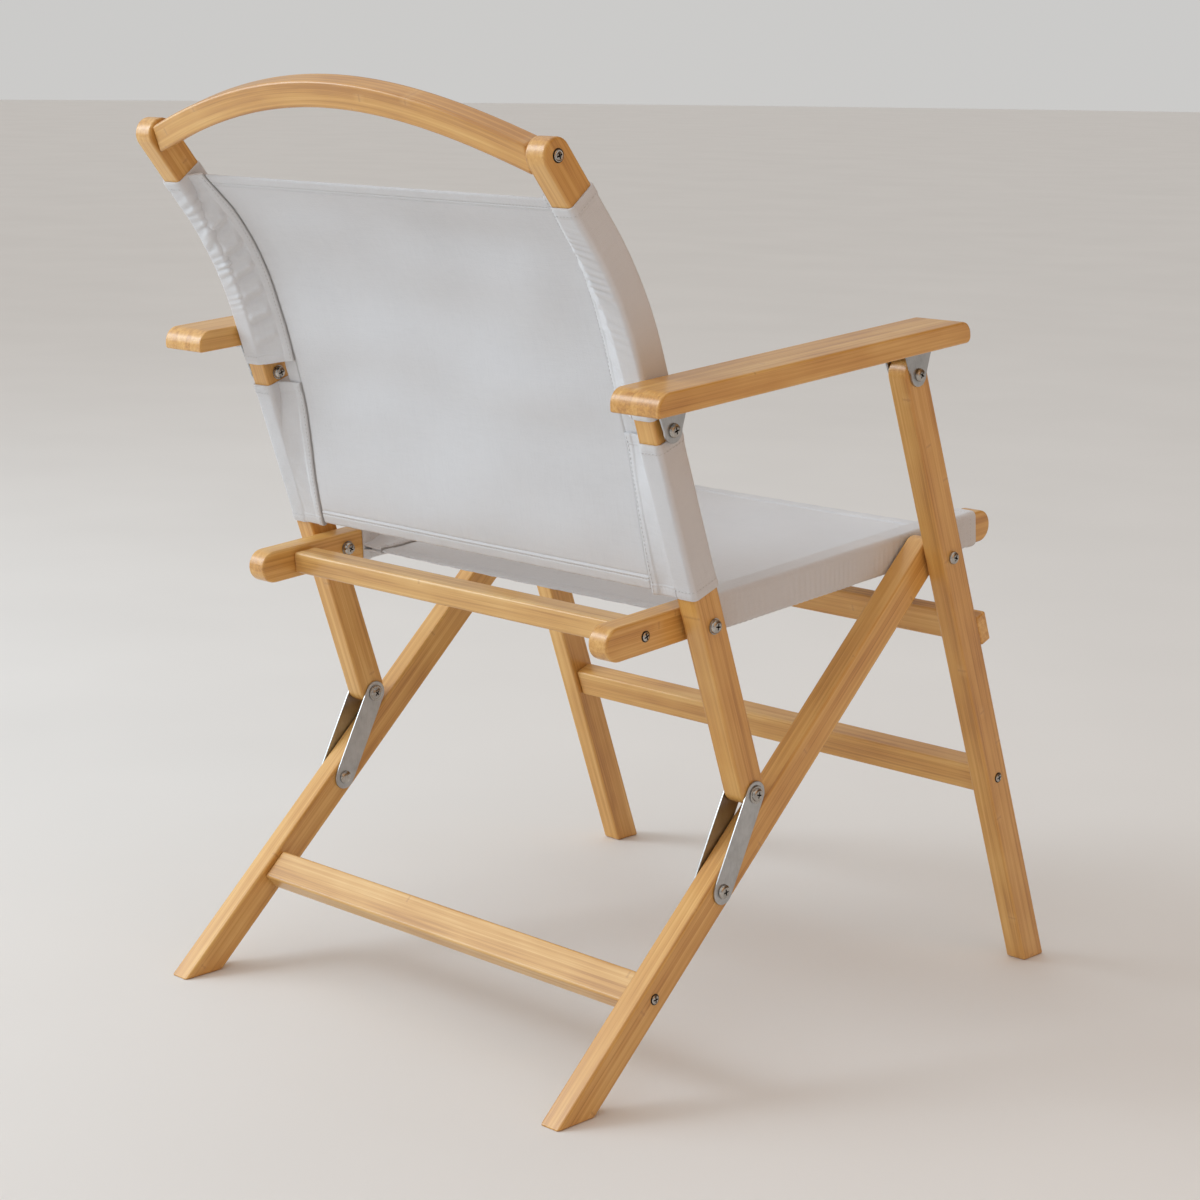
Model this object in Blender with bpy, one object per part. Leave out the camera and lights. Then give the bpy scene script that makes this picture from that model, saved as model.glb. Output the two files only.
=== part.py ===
"""Folding bamboo armchair with a canvas seat and back.

Frame: metres, +Z up, the sitter faces -Y, the chair is symmetric about X = 0.
All side-view outlines are drawn in the (y, z) plane in millimetres and then
extruded along X, one layer per piece:  seat rail | rear leg and back post |
front leg, from the inside out.
"""
import bpy
import bmesh
from math import sin, cos, radians, pi, sqrt, atan2, hypot

# ---------------------------------------------------------------- dimensions
MM = 0.001
Y_MID = 6.373             # side-view y of the middle of the overall depth

# pivots of the side linkage (y, z)
P_REAR = (124.5, 374.0)    # back post on seat rail
P_FRONT = (-156.7, 395.2)  # front leg and rear leg on seat rail
A_REAR = (183.0, 537.0)    # armrest on back post
A_FRONT = (-98.2, 558.2)   # armrest on front leg
P_LINK = (71.383, 226.0)   # link plates on the lower end of the back post
Q_LINK = (109.071, 151.9)  # link plates on the rear leg

# layers (absolute x of the inner and outer face)
S_IN, S_OUT = 199.1, 219.9     # seat rail
B_IN, B_OUT = 223.6, 244.4     # back post and rear leg
F_IN, F_OUT = 247.3, 267.5     # front leg
ARM_IN, ARM_OUT = 246.7, 297.6  # armrest

LEG_W = 28.0               # in-plane width of the legs
POST_W = 27.5              # in-plane width of the back posts
RAIL_W = 28.4              # depth of the seat rails
FRONT_FOOT = (-304.5, 0.0)
REAR_FOOT = (275.0, 0.0)
FRONT_SLOPE = 0.3696       # dy/dz of the front leg
RAIL_FRONT, RAIL_REAR = 119.6, 379.8   # rail ends, measured from P_FRONT
POST_BEND_Z = 595.0        # the back post leaves its straight line here
POST_BEND_R = 324.0        # bend radius
POST_END_ANGLE = 39.0      # lean of the top of the post, degrees from vertical
T_SCREW = (305.9, 748.3)   # centre of the rounded post top
POST_END = -152.0          # centre of the rounded lower post end, measured from P_REAR

ARCH_TILT = 20.0           # lean of the arch plane
ARCH_H, ARCH_T = 22.0, 19.0
ARCH_MID, ARCH_AMP, ARCH_K = 43.6, 88.9, 0.95 / 200.0

ARM_LIFT, ARM_T = 24.7, 18.5
ARM_BACK, ARM_FORE = 65.7, 316.9

CLOTH = 1.1                # canvas thickness
GAP = 0.3                  # play between touching pieces
BOLT_R, HOLE_R = 3.4, 3.8

# ------------------------------------------------------------------- helpers
for ob in list(bpy.data.objects):
    bpy.data.objects.remove(ob, do_unlink=True)


def material(name, rgb, rough, metal):
    m = bpy.data.materials.new(name)
    m.use_nodes = True
    b = m.node_tree.nodes["Principled BSDF"]
    b.inputs["Base Color"].default_value = (rgb[0], rgb[1], rgb[2], 1.0)
    b.inputs["Roughness"].default_value = rough
    b.inputs["Metallic"].default_value = metal
    m.diffuse_color = (rgb[0], rgb[1], rgb[2], 1.0)
    return m


BAMBOO = material("bamboo", (0.62, 0.36, 0.13), 0.45, 0.0)
CANVAS = material("canvas", (0.74, 0.73, 0.71), 0.9, 0.0)
ZINC = material("zinc_plate", (0.58, 0.60, 0.62), 0.35, 1.0)
BOLT = material("bolt_steel", (0.66, 0.66, 0.66), 0.25, 1.0)


def sub(a, b):
    return (a[0] - b[0], a[1] - b[1])


def unit(a):
    n = hypot(a[0], a[1])
    return (a[0] / n, a[1] / n)


def at(o, d, u, n=0.0):
    """Point u along d and n to the left of d, from o."""
    return (o[0] + d[0] * u - d[1] * n, o[1] + d[1] * u + d[0] * n)


def new_object(name, verts, faces, origin, mat):
    """verts in mm (x, y, z); origin is the (y, z) of the body's joint axis."""
    oy, oz = origin
    me = bpy.data.meshes.new(name)
    me.from_pydata([(x * MM, (y - oy) * MM, (z - oz) * MM) for x, y, z in verts], [], faces)
    bm = bmesh.new()
    bm.from_mesh(me)
    bmesh.ops.recalc_face_normals(bm, faces=bm.faces[:])
    bm.to_mesh(me)
    bm.free()
    me.materials.append(mat)
    ob = bpy.data.objects.new(name, me)
    ob.location = (0.0, (oy - Y_MID) * MM, oz * MM)
    bpy.context.scene.collection.objects.link(ob)
    return ob


def smooth(ob, angle=35.0):
    ob.data.shade_smooth()
    ob.data.set_sharp_from_angle(angle=radians(angle))


def prism(name, outline, x0, x1, origin, mat, bevel=0.0, holes=()):
    """Extrude a side-view outline along X."""
    n = len(outline)
    verts = [(x0, y, z) for y, z in outline] + [(x1, y, z) for y, z in outline]
    faces = [tuple(range(n)), tuple(range(2 * n - 1, n - 1, -1))]
    for i in range(n):
        j = (i + 1) % n
        faces.append((i, j, n + j, n + i))
    ob = new_object(name, verts, faces, origin, mat)
    if bevel > 0.0:
        m = ob.modifiers.new("round_edges", 'BEVEL')
        m.width = bevel * MM
        m.segments = 2
        m.limit_method = 'ANGLE'
        m.angle_limit = radians(40.0)
        m.harden_normals = False
    drill(ob, holes)
    smooth(ob)
    return ob


CUTTERS = {}


def drill(ob, holes):
    for y, z, r, x0, x1 in holes:
        key = (round(y, 2), round(z, 2), round(r, 2), round(x0, 2), round(x1, 2))
        if key not in CUTTERS:
            c = rod("cut_%02d" % len(CUTTERS), (y, z), r, x0, x1, (y, z), BOLT)
            c.hide_render = True
            c.display_type = 'WIRE'
            CUTTERS[key] = c
        m = ob.modifiers.new("hole", 'BOOLEAN')
        m.operation = 'DIFFERENCE'
        m.solver = 'EXACT'
        m.object = CUTTERS[key]


def rod(name, c, r, x0, x1, origin, mat, n=16):
    pts = [(c[0] + r * cos(2 * pi * i / n), c[1] + r * sin(2 * pi * i / n)) for i in range(n)]
    return prism(name, pts, x0, x1, origin, mat)


def turned(name, c, profile, origin, mat, n=16):
    """Solid of revolution about the X direction through c; profile is [(x, r)...]."""
    verts, faces = [], []
    rings = []
    for x, r in profile:
        if r <= 0.0:
            rings.append([len(verts)])
            verts.append((x, c[0], c[1]))
        else:
            rings.append(list(range(len(verts), len(verts) + n)))
            verts += [(x, c[0] + r * cos(2 * pi * i / n), c[1] + r * sin(2 * pi * i / n)) for i in range(n)]
    for a, b in zip(rings[:-1], rings[1:]):
        for i in range(n):
            j = (i + 1) % n
            if len(a) == 1:
                faces.append((a[0], b[j], b[i]))
            elif len(b) == 1:
                faces.append((a[i], a[j], b[0]))
            else:
                faces.append((a[i], a[j], b[j], b[i]))
    ob = new_object(name, verts, faces, origin, mat)
    smooth(ob)
    return ob


def arc(c, r, a0, a1, n):
    return [(c[0] + r * cos(a0 + (a1 - a0) * i / n), c[1] + r * sin(a0 + (a1 - a0) * i / n)) for i in range(n + 1)]


def clip(poly, p0, nrm):
    """Keep the part of the polygon on the side nrm points to."""
    out = []
    for i in range(len(poly)):
        a, b = poly[i], poly[(i + 1) % len(poly)]
        da = (a[0] - p0[0]) * nrm[0] + (a[1] - p0[1]) * nrm[1]
        db = (b[0] - p0[0]) * nrm[0] + (b[1] - p0[1]) * nrm[1]
        if da >= 0:
            out.append(a)
        if da * db < 0:
            t = da / (da - db)
            out.append((a[0] + (b[0] - a[0]) * t, a[1] + (b[1] - a[1]) * t))
    return out


def stadium(a, b, r0, r1, n=8):
    """Bar from a to b with rounded ends of radius r0 at a and r1 at b."""
    d = unit(sub(b, a))
    t = atan2(d[1], d[0])
    return arc(a, r0, t + pi / 2, t + 3 * pi / 2, n) + arc(b, r1, t - pi / 2, t + pi / 2, n)


def box_tube(sections, wall):
    """Ring sweep. sections: list of (outer 4 corners, inner 4 corners) in xyz."""
    verts, faces = [], []
    for outer, inner in sections:
        verts += list(outer) + list(inner)
    k = len(sections)
    for s in range(k - 1):
        a, b = 8 * s, 8 * (s + 1)
        for i in range(4):
            j = (i + 1) % 4
            faces.append((a + i, a + j, b + j, b + i))
            faces.append((a + 4 + j, a + 4 + i, b + 4 + i, b + 4 + j))
    for base in (0, 8 * (k - 1)):
        for i in range(4):
            j = (i + 1) % 4
            faces.append((base + i, base + j, base + 4 + j, base + 4 + i))
    return verts, faces


def union(ob, tool):
    tool.hide_render = True
    tool.display_type = 'WIRE'
    m = ob.modifiers.new("sewn_on", 'BOOLEAN')
    m.operation = 'UNION'
    m.solver = 'EXACT'
    m.object = tool


def span(s, a, b):
    """x range of a layer on side s (+1 left, -1 right)."""
    return (s * a, s * b) if s > 0 else (s * b, s * a)


SIDES = (("L", 1.0), ("R", -1.0))

# -------------------------------------------------- directions of the members
D_RAIL = unit(sub(P_REAR, P_FRONT))        # towards the rear
D_POST = unit(sub(A_REAR, P_REAR))         # upwards
D_REAR = unit(sub(REAR_FOOT, P_FRONT))     # down to the rear foot
D_FRONT = unit((-FRONT_SLOPE, -1.0))       # down to the front foot
D_ARM = unit(sub(A_FRONT, A_REAR))         # towards the front
ORIGIN_SEAT = P_REAR
FLOOR = (0.0, 0.0)

# ---------------------------------------------------------------- seat frame
for tag, s in SIDES:
    outline = stadium(at(P_FRONT, D_RAIL, -RAIL_FRONT + RAIL_W / 2), at(P_FRONT, D_RAIL, RAIL_REAR - RAIL_W / 2),
                      RAIL_W / 2, RAIL_W / 2, 10)
    x0, x1 = span(s, S_IN, S_OUT)
    prism("seat_rail_" + tag, outline, x0, x1, ORIGIN_SEAT, BAMBOO, 2.0,
          [(P_REAR[0], P_REAR[1], HOLE_R, x0 - 5, x1 + 5), (P_FRONT[0], P_FRONT[1], HOLE_R, x0 - 5, x1 + 5)])
    turned("rail_screw_" + tag, at(P_FRONT, D_RAIL, 335.7),
           [(s * (S_OUT + GAP), 0.0), (s * (S_OUT + GAP), 3.6), (s * (S_OUT + 1.0), 3.6), (s * (S_OUT + 1.6), 2.4), (s * (S_OUT + 1.6), 0.0)],
           ORIGIN_SEAT, BOLT)
    # rear pivot: bolt through post and rail, cap nut on the inner face
    turned("rear_pivot_bolt_" + tag, P_REAR,
           [(s * (S_IN + 0.4), 0.0), (s * (S_IN + 0.4), BOLT_R), (s * (B_OUT + GAP), BOLT_R), (s * (B_OUT + GAP), 8.0),
            (s * (B_OUT + 1.5), 8.0), (s * (B_OUT + 1.5), 5.6), (s * (B_OUT + 3.6), 5.0), (s * (B_OUT + 4.6), 3.0), (s * (B_OUT + 4.6), 0.0)],
           ORIGIN_SEAT, BOLT)
    turned("rear_pivot_nut_" + tag, P_REAR,
           [(s * (S_IN - GAP), 0.0), (s * (S_IN - GAP), 6.6), (s * (S_IN - 3.2), 6.6), (s * (S_IN - 5.2), 4.8), (s * (S_IN - 6.2), 2.2), (s * (S_IN - 6.2), 0.0)],
           ORIGIN_SEAT, BOLT)
    # front pivot, seat side: cap nut with its stud in the rail
    turned("front_pivot_nut_" + tag, P_FRONT,
           [(s * (S_OUT + 2.4), 0.0), (s * (S_OUT + 2.4), BOLT_R), (s * (S_IN - 1.9), BOLT_R), (s * (S_IN - 1.9), 6.6),
            (s * (S_IN - 4.8), 6.6), (s * (S_IN - 6.8), 4.8), (s * (S_IN - 7.8), 2.2), (s * (S_IN - 7.8), 0.0)],
           ORIGIN_SEAT, BOLT)

c = at(P_FRONT, D_RAIL, 332.5)
prism("rear_cross_rail", [at(c, D_RAIL, -12.0, -9.3), at(c, D_RAIL, 12.0, -9.3), at(c, D_RAIL, 12.0, 9.3), at(c, D_RAIL, -12.0, 9.3)],
      -(S_IN - GAP), S_IN - GAP, ORIGIN_SEAT, BAMBOO, 2.0)

# seat canvas: a panel in the middle plane of the rails, sewn to a sleeve round each rail
SEAT_U0, SEAT_U1 = -96.0, 264.0
SEAT_MID, SEAT_SAG = -3.0, 0.8
half = RAIL_W / 2
NX, NU = 12, 4
verts, faces = [], []
xe = S_IN - GAP - 0.4
for layer in (0, 1):
    for i in range(NX + 1):
        x = -xe + 2 * xe * i / NX
        sag = -SEAT_SAG * (1 - (x / xe) ** 2)
        for k in range(NU + 1):
            u = SEAT_U0 + 1.5 + (SEAT_U1 - SEAT_U0 - 3.0) * k / NU
            y, z = at(P_FRONT, D_RAIL, u, SEAT_MID + (layer - 0.5) * CLOTH + sag)
            verts.append((x, y, z))
row = NU + 1
lay = (NX + 1) * row
for i in range(NX):
    for k in range(NU):
        a = i * row + k
        faces.append((a, a + 1, a + row + 1, a + row))
        faces.append((lay + a, lay + a + row, lay + a + row + 1, lay + a + 1))
for i in range(NX):
    for k in (0, NU):
        a = i * row + k
        faces.append((a, a + row, lay + a + row, lay + a))
for k in range(NU):
    for i in (0, NX):
        a = i * row + k
        faces.append((a, a + 1, lay + a + 1, lay + a))
seat = new_object("seat_canvas", verts, faces, ORIGIN_SEAT, CANVAS)
for tag, s in SIDES:
    sections = []
    for u in (SEAT_U0, SEAT_U1):
        o, i_ = [], []
        for x, n in ((S_IN - GAP, -half - GAP), (S_OUT + GAP, -half - GAP), (S_OUT + GAP, half + GAP), (S_IN - GAP, half + GAP)):
            y, z = at(P_FRONT, D_RAIL, u, n)
            i_.append((s * x, y, z))
        for x, n in ((S_IN - GAP - CLOTH, -half - GAP - CLOTH), (S_OUT + GAP + CLOTH, -half - GAP - CLOTH),
                     (S_OUT + GAP + CLOTH, half + GAP + CLOTH), (S_IN - GAP - CLOTH, half + GAP + CLOTH)):
            y, z = at(P_FRONT, D_RAIL, u, n)
            o.append((s * x, y, z))
        sections.append((o, i_))
    v, f = box_tube(sections, CLOTH)
    union(seat, new_object("sleeve_seat_" + tag, v, f, ORIGIN_SEAT, CANVAS))
for tag, s in SIDES:
    x0, x1 = span(s, S_IN - 12.0, S_OUT + 12.0)
    drill(seat, [(P_FRONT[0], P_FRONT[1], HOLE_R + 0.2, x0, x1)])
    # room for the cap nut beside the sleeve
    drill(seat, [(P_FRONT[0], P_FRONT[1], 9.0, *span(s, S_IN - 11.0, S_IN - GAP - CLOTH - 0.06))])
smooth(seat)

# -------------------------------------------------------------------- back
# centre line of the post: straight, bend, straight
lean0 = atan2(D_POST[0], D_POST[1])
u_bend = (POST_BEND_Z - P_REAR[1]) / D_POST[1]
bend_start = at(P_REAR, D_POST, u_bend)
lean1 = radians(POST_END_ANGLE)
centre = (bend_start[0] + POST_BEND_R * cos(lean0), bend_start[1] - POST_BEND_R * sin(lean0))


def post_line(u):
    """Point and upward direction of the post centre line, u mm above P_REAR."""
    if u <= u_bend:
        return at(P_REAR, D_POST, u), D_POST
    lean = lean0 + (u - u_bend) / POST_BEND_R
    if lean <= lean1:
        p = (centre[0] - POST_BEND_R * cos(lean), centre[1] + POST_BEND_R * sin(lean))
        return p, (sin(lean), cos(lean))
    u_end = u_bend + POST_BEND_R * (lean1 - lean0)
    p = (centre[0] - POST_BEND_R * cos(lean1), centre[1] + POST_BEND_R * sin(lean1))
    d = (sin(lean1), cos(lean1))
    return at(p, d, u - u_end), d


def rear_of(p, d, n):
    """Point n mm behind the centre line (negative: in front of it)."""
    return (p[0] + d[1] * n, p[1] - d[0] * n)


u_straight = u_bend + POST_BEND_R * (lean1 - lean0)
u_top = u_straight + (T_SCREW[1] - (centre[1] + POST_BEND_R * sin(lean1))) / cos(lean1)
p_top, d_top = post_line(u_top)
stations = [POST_END, 0.0, u_bend] + [u_bend + (u_straight - u_bend) * i / 8 for i in range(1, 9)] + [u_top]
rear_edge = [rear_of(*post_line(u), POST_W / 2) for u in stations]
front_edge = [rear_of(*post_line(u), -POST_W / 2) for u in stations]
t = atan2(d_top[1], d_top[0])
cap = arc(p_top, POST_W / 2, t - pi / 2, t + pi / 2, 10)
t = atan2(D_POST[1], D_POST[0])
foot = arc(at(P_REAR, D_POST, POST_END), POST_W / 2, t + pi / 2, t + 3 * pi / 2, 12)
outline = rear_edge[1:-1] + cap + front_edge[1:-1][::-1] + foot
for tag, s in SIDES:
    x0, x1 = span(s, B_IN, B_OUT)
    prism("back_post_" + tag, outline, x0, x1, P_REAR, BAMBOO, 2.0,
          [(p[0], p[1], HOLE_R, x0 - 3, x1 + 3) for p in (P_REAR, A_REAR, P_LINK)])
    turned("arch_screw_" + tag, p_top,
           [(s * (B_OUT + GAP), 0.0), (s * (B_OUT + GAP), 4.2), (s * (B_OUT + 1.0), 4.2), (s * (B_OUT + 1.7), 2.8), (s * (B_OUT + 1.7), 0.0)],
           P_REAR, BOLT)

# arched top bar
tilt = radians(ARCH_TILT)
verts, faces = [], []
NA = 28
xa = B_IN - 0.4
for i in range(NA + 1):
    x = -xa + 2 * xa * i / NA
    v = ARCH_MID + ARCH_AMP * (cos(ARCH_K * x) - 1)
    slope = -ARCH_AMP * ARCH_K * sin(ARCH_K * x)
    if i in (0, NA):
        nx, nv = 0.0, sqrt(1 + slope * slope)      # ends cut plumb against the posts
    else:
        nx, nv = -slope / sqrt(1 + slope * slope), 1 / sqrt(1 + slope * slope)
    for h, w in ((-1, -1), (1, -1), (1, 1), (-1, 1)):
        px = x + nx * h * ARCH_H / 2
        pv = v + nv * h * ARCH_H / 2
        pw = w * ARCH_T / 2
        verts.append((px, p_top[0] + pv * sin(tilt) + pw * cos(tilt), p_top[1] + pv * cos(tilt) - pw * sin(tilt)))
for i in range(NA):
    for k in range(4):
        j = (k + 1) % 4
        faces.append((4 * i + k, 4 * i + j, 4 * i + 4 + j, 4 * i + 4 + k))
faces += [(0, 1, 2, 3), (4 * NA, 4 * NA + 1, 4 * NA + 2, 4 * NA + 3)]
arch = new_object("top_arch", verts, faces, P_REAR, BAMBOO)
m = arch.modifiers.new("round_edges", 'BEVEL')
m.width = 2.2 * MM
m.segments = 2
m.limit_method = 'ANGLE'
m.angle_limit = radians(40.0)
smooth(arch)

# back canvas: panel in the middle plane of the posts, sewn to two sleeves on each post
PANEL_U0, PANEL_U1 = 33.0, 374.6
PANEL_MID = -1.0           # panel lies on the post centre line
PANEL_LOW = 12.5           # and swings behind it at the lower edge
SLEEVES = ((30.0, 165.5), (186.0, 376.0))


def panel_n(u):
    t = min(1.0, max(0.0, (u - PANEL_U0) / 140.0))
    t = t * t * (3 - 2 * t)
    return PANEL_LOW + (PANEL_MID - PANEL_LOW) * t


us = [PANEL_U0 + 14.0 * i for i in range(10)] + [163.6, 166.4, 175.0, 185.1, 187.9]
us += [u + 1.7 for u in stations if 195.0 < u < PANEL_U1 - 8] + [PANEL_U1]
verts, faces = [], []
for s in (-1, 1):
    for u in us:
        p, d = post_line(u)
        # the free edge between the two sleeves stands clear of the post
        x = s * (B_IN - 11.0 if 165.5 < u < 186.0 else B_IN - GAP - 0.4)
        for e in (-0.5, 0.5):
            y, z = rear_of(p, d, panel_n(u) + e * CLOTH)
            verts.append((x, y, z))
n = len(us)
for i in range(n - 1):
    a, b = 2 * i, 2 * n + 2 * i
    faces.append((a, a + 2, b + 2, b))
    faces.append((a + 1, b + 1, b + 3, a + 3))
    faces.append((a, a + 1, a + 3, a + 2))
    faces.append((b, b + 2, b + 3, b + 1))
faces.append((0, 2 * n, 2 * n + 1, 1))
faces.append((2 * n - 2, 2 * n - 1, 4 * n - 1, 4 * n - 2))
back = new_object("back_canvas", verts, faces, P_REAR, CANVAS)
for tag, s in SIDES:
    for k, (u0, u1) in enumerate(SLEEVES):
        sections = []
        for u in [u0] + [u for u in stations if u0 + 3 < u < u1 - 3] + [u1]:
            p, d = post_line(u)
            o, i_ = [], []
            g = POST_W / 2 + GAP
            for x, w in ((B_IN - GAP, -g), (B_OUT + GAP, -g), (B_OUT + GAP, g), (B_IN - GAP, g)):
                y, z = rear_of(p, d, w)
                i_.append((s * x, y, z))
            g += CLOTH
            for x, w in ((B_IN - GAP - CLOTH, -g), (B_OUT + GAP + CLOTH, -g), (B_OUT + GAP + CLOTH, g), (B_IN - GAP - CLOTH, g)):
                y, z = rear_of(p, d, w)
                o.append((s * x, y, z))
            sections.append((o, i_))
        v, f = box_tube(sections, CLOTH)
        union(back, new_object("sleeve_back_%s%d" % (tag, k), v, f, P_REAR, CANVAS))
smooth(back)

# --------------------------------------------------------------- front frame
leg_top = at(FRONT_FOOT, (-D_FRONT[0], -D_FRONT[1]), A_FRONT[1] / -D_FRONT[1] + 0.5)
outline = stadium(at(FRONT_FOOT, D_FRONT, 40.0), leg_top, LEG_W / 2, LEG_W / 2, 10)
outline = clip(outline, FLOOR, (0.0, 1.0))
for tag, s in SIDES:
    x0, x1 = span(s, F_IN, F_OUT)
    prism("front_leg_" + tag, outline, x0, x1, P_FRONT, BAMBOO, 2.0,
          [(p[0], p[1], HOLE_R, x0 - 3, x1 + 3) for p in (P_FRONT, A_FRONT)])
    turned("front_pivot_bolt_" + tag, P_FRONT,
           [(s * (F_IN + 0.2), 0.0), (s * (F_IN + 0.2), BOLT_R), (s * (F_OUT + GAP), BOLT_R), (s * (F_OUT + GAP), 6.0),
            (s * (F_OUT + 2.4), 5.6), (s * (F_OUT + 3.8), 3.6), (s * (F_OUT + 4.2), 0.0)],
           P_FRONT, BOLT)
    turned("front_stretcher_screw_" + tag, (-236.3, 184.6),
           [(s * (F_OUT + GAP), 0.0), (s * (F_OUT + GAP), 3.6), (s * (F_OUT + 0.9), 3.6), (s * (F_OUT + 1.5), 2.4), (s * (F_OUT + 1.5), 0.0)],
           P_FRONT, BOLT)
c = (-236.5, 184.0)
prism("front_stretcher", [at(c, D_FRONT, -13.5, -9.5), at(c, D_FRONT, 13.5, -9.5), at(c, D_FRONT, 13.5, 9.5), at(c, D_FRONT, -13.5, 9.5)],
      -(F_IN - GAP), F_IN - GAP, P_FRONT, BAMBOO, 2.0)
c = at(FRONT_FOOT, D_FRONT, -339.5)
n0, n1 = LEG_W / 2 + GAP, LEG_W / 2 + GAP + 13.0
prism("front_board", [at(c, D_FRONT, -14.2, -n0), at(c, D_FRONT, 14.2, -n0), at(c, D_FRONT, 14.2, -n1), at(c, D_FRONT, -14.2, -n1)],
      -F_OUT, F_OUT, P_FRONT, BAMBOO, 2.0)

# ---------------------------------------------------------------- rear frame
outline = stadium(P_FRONT, at(REAR_FOOT, D_REAR, 40.0), LEG_W / 2, LEG_W / 2, 10)
outline = clip(outline, FLOOR, (0.0, 1.0))
for tag, s in SIDES:
    x0, x1 = span(s, B_IN, B_OUT)
    prism("rear_leg_" + tag, outline, x0, x1, P_FRONT, BAMBOO, 2.0,
          [(p[0], p[1], HOLE_R, x0 - 3, x1 + 3) for p in (P_FRONT, Q_LINK)])
    turned("rear_stretcher_screw_" + tag, at(P_FRONT, D_REAR, 466.6),
           [(s * (B_OUT + GAP), 0.0), (s * (B_OUT + GAP), 3.6), (s * (B_OUT + 0.9), 3.6), (s * (B_OUT + 1.5), 2.4), (s * (B_OUT + 1.5), 0.0)],
           P_FRONT, BOLT)
c = at(P_FRONT, D_REAR, 466.6)
prism("rear_stretcher", [at(c, D_REAR, -14.3, -9.25), at(c, D_REAR, 14.3, -9.25), at(c, D_REAR, 14.3, 9.25), at(c, D_REAR, -14.3, 9.25)],
      -(B_IN - GAP), B_IN - GAP, P_FRONT, BAMBOO, 2.0)

# --------------------------------------------------------------- link plates
for tag, s in SIDES:
    for kind, a, b in (("outer", B_OUT + 0.4, B_OUT + 2.0), ("inner", B_IN - 2.0, B_IN - 0.4)):
        x0, x1 = span(s, a, b)
        prism("link_plate_%s_%s" % (kind, tag), stadium(P_LINK, Q_LINK, 11.0, 11.0, 10), x0, x1, Q_LINK, ZINC, 0.0,
              [(p[0], p[1], HOLE_R, x0 - 3, x1 + 3) for p in (P_LINK, Q_LINK)])
    # lower pin through plates and leg, upper pin as a head on each plate
    turned("link_pin_lower_" + tag, Q_LINK,
           [(s * (B_IN - 4.6), 0.0), (s * (B_IN - 4.6), 3.6), (s * (B_IN - 3.6), 6.2), (s * (B_IN - 2.3), 6.2), (s * (B_IN - 2.3), BOLT_R),
            (s * (B_OUT + 2.3), BOLT_R), (s * (B_OUT + 2.3), 6.2), (s * (B_OUT + 3.8), 5.6), (s * (B_OUT + 5.0), 3.0), (s * (B_OUT + 5.0), 0.0)],
           Q_LINK, BOLT)
    turned("link_pin_upper_outer_" + tag, P_LINK,
           [(s * (B_OUT + 0.5), 0.0), (s * (B_OUT + 0.5), BOLT_R), (s * (B_OUT + 2.3), BOLT_R), (s * (B_OUT + 2.3), 7.6),
            (s * (B_OUT + 3.2), 7.6), (s * (B_OUT + 3.2), 5.4), (s * (B_OUT + 4.6), 4.8), (s * (B_OUT + 5.4), 2.6), (s * (B_OUT + 5.4), 0.0)],
           Q_LINK, BOLT)
    turned("link_pin_upper_inner_" + tag, P_LINK,
           [(s * (B_IN - 0.5), 0.0), (s * (B_IN - 0.5), BOLT_R), (s * (B_IN - 2.3), BOLT_R), (s * (B_IN - 2.3), 7.6),
            (s * (B_IN - 3.2), 7.6), (s * (B_IN - 3.6), 5.0), (s * (B_IN - 4.6), 3.0), (s * (B_IN - 4.6), 0.0)],
           Q_LINK, BOLT)

# ------------------------------------------------------------------ armrests
lo, hi = -ARM_LIFT, -(ARM_LIFT + ARM_T)    # D_ARM points forward, so up is to its right
tr = atan2(D_ARM[1], D_ARM[0])


def arm_pt(u, h):
    """u forward from A_REAR, h above the line of the two arm pivots."""
    return at(A_REAR, D_ARM, u, -h)


def fillet(u, h, r, su, sh, n=6):
    """Rounded corner whose tangent lines are u and h; su, sh point inwards."""
    cu, ch = u + su * r, h + sh * r
    a0 = atan2(0.0, -su)
    pts = []
    for i in range(n + 1):
        k = i / n * pi / 2
        pts.append((cu - su * r * cos(k), ch - sh * r * sin(k)))
    return pts


h0, h1 = ARM_LIFT, ARM_LIFT + ARM_T
rear_top = fillet(-ARM_BACK, h1, 13.0, 1, -1)
front_top = fillet(ARM_FORE, h1, 11.0, -1, -1)[::-1]
front_low = fillet(ARM_FORE, h0, 5.0, -1, 1, 4)
rear_low = fillet(-ARM_BACK, h0, 2.0, 1, 1, 3)[::-1]
outline = [arm_pt(u, h) for u, h in rear_top + front_top + front_low + rear_low]
A_LEN = hypot(*sub(A_FRONT, A_REAR))


def ear(centre_u, r, wide, top):
    """Tapered ear with a rounded lower end about its bolt."""
    pts = []
    for i in range(9):
        k = pi + pi * i / 8
        pts.append((centre_u + r * cos(k), r * sin(k)))
    pts += [(centre_u + wide, top), (centre_u - wide, top)]
    return [arm_pt(u, h) for u, h in pts]


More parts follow.
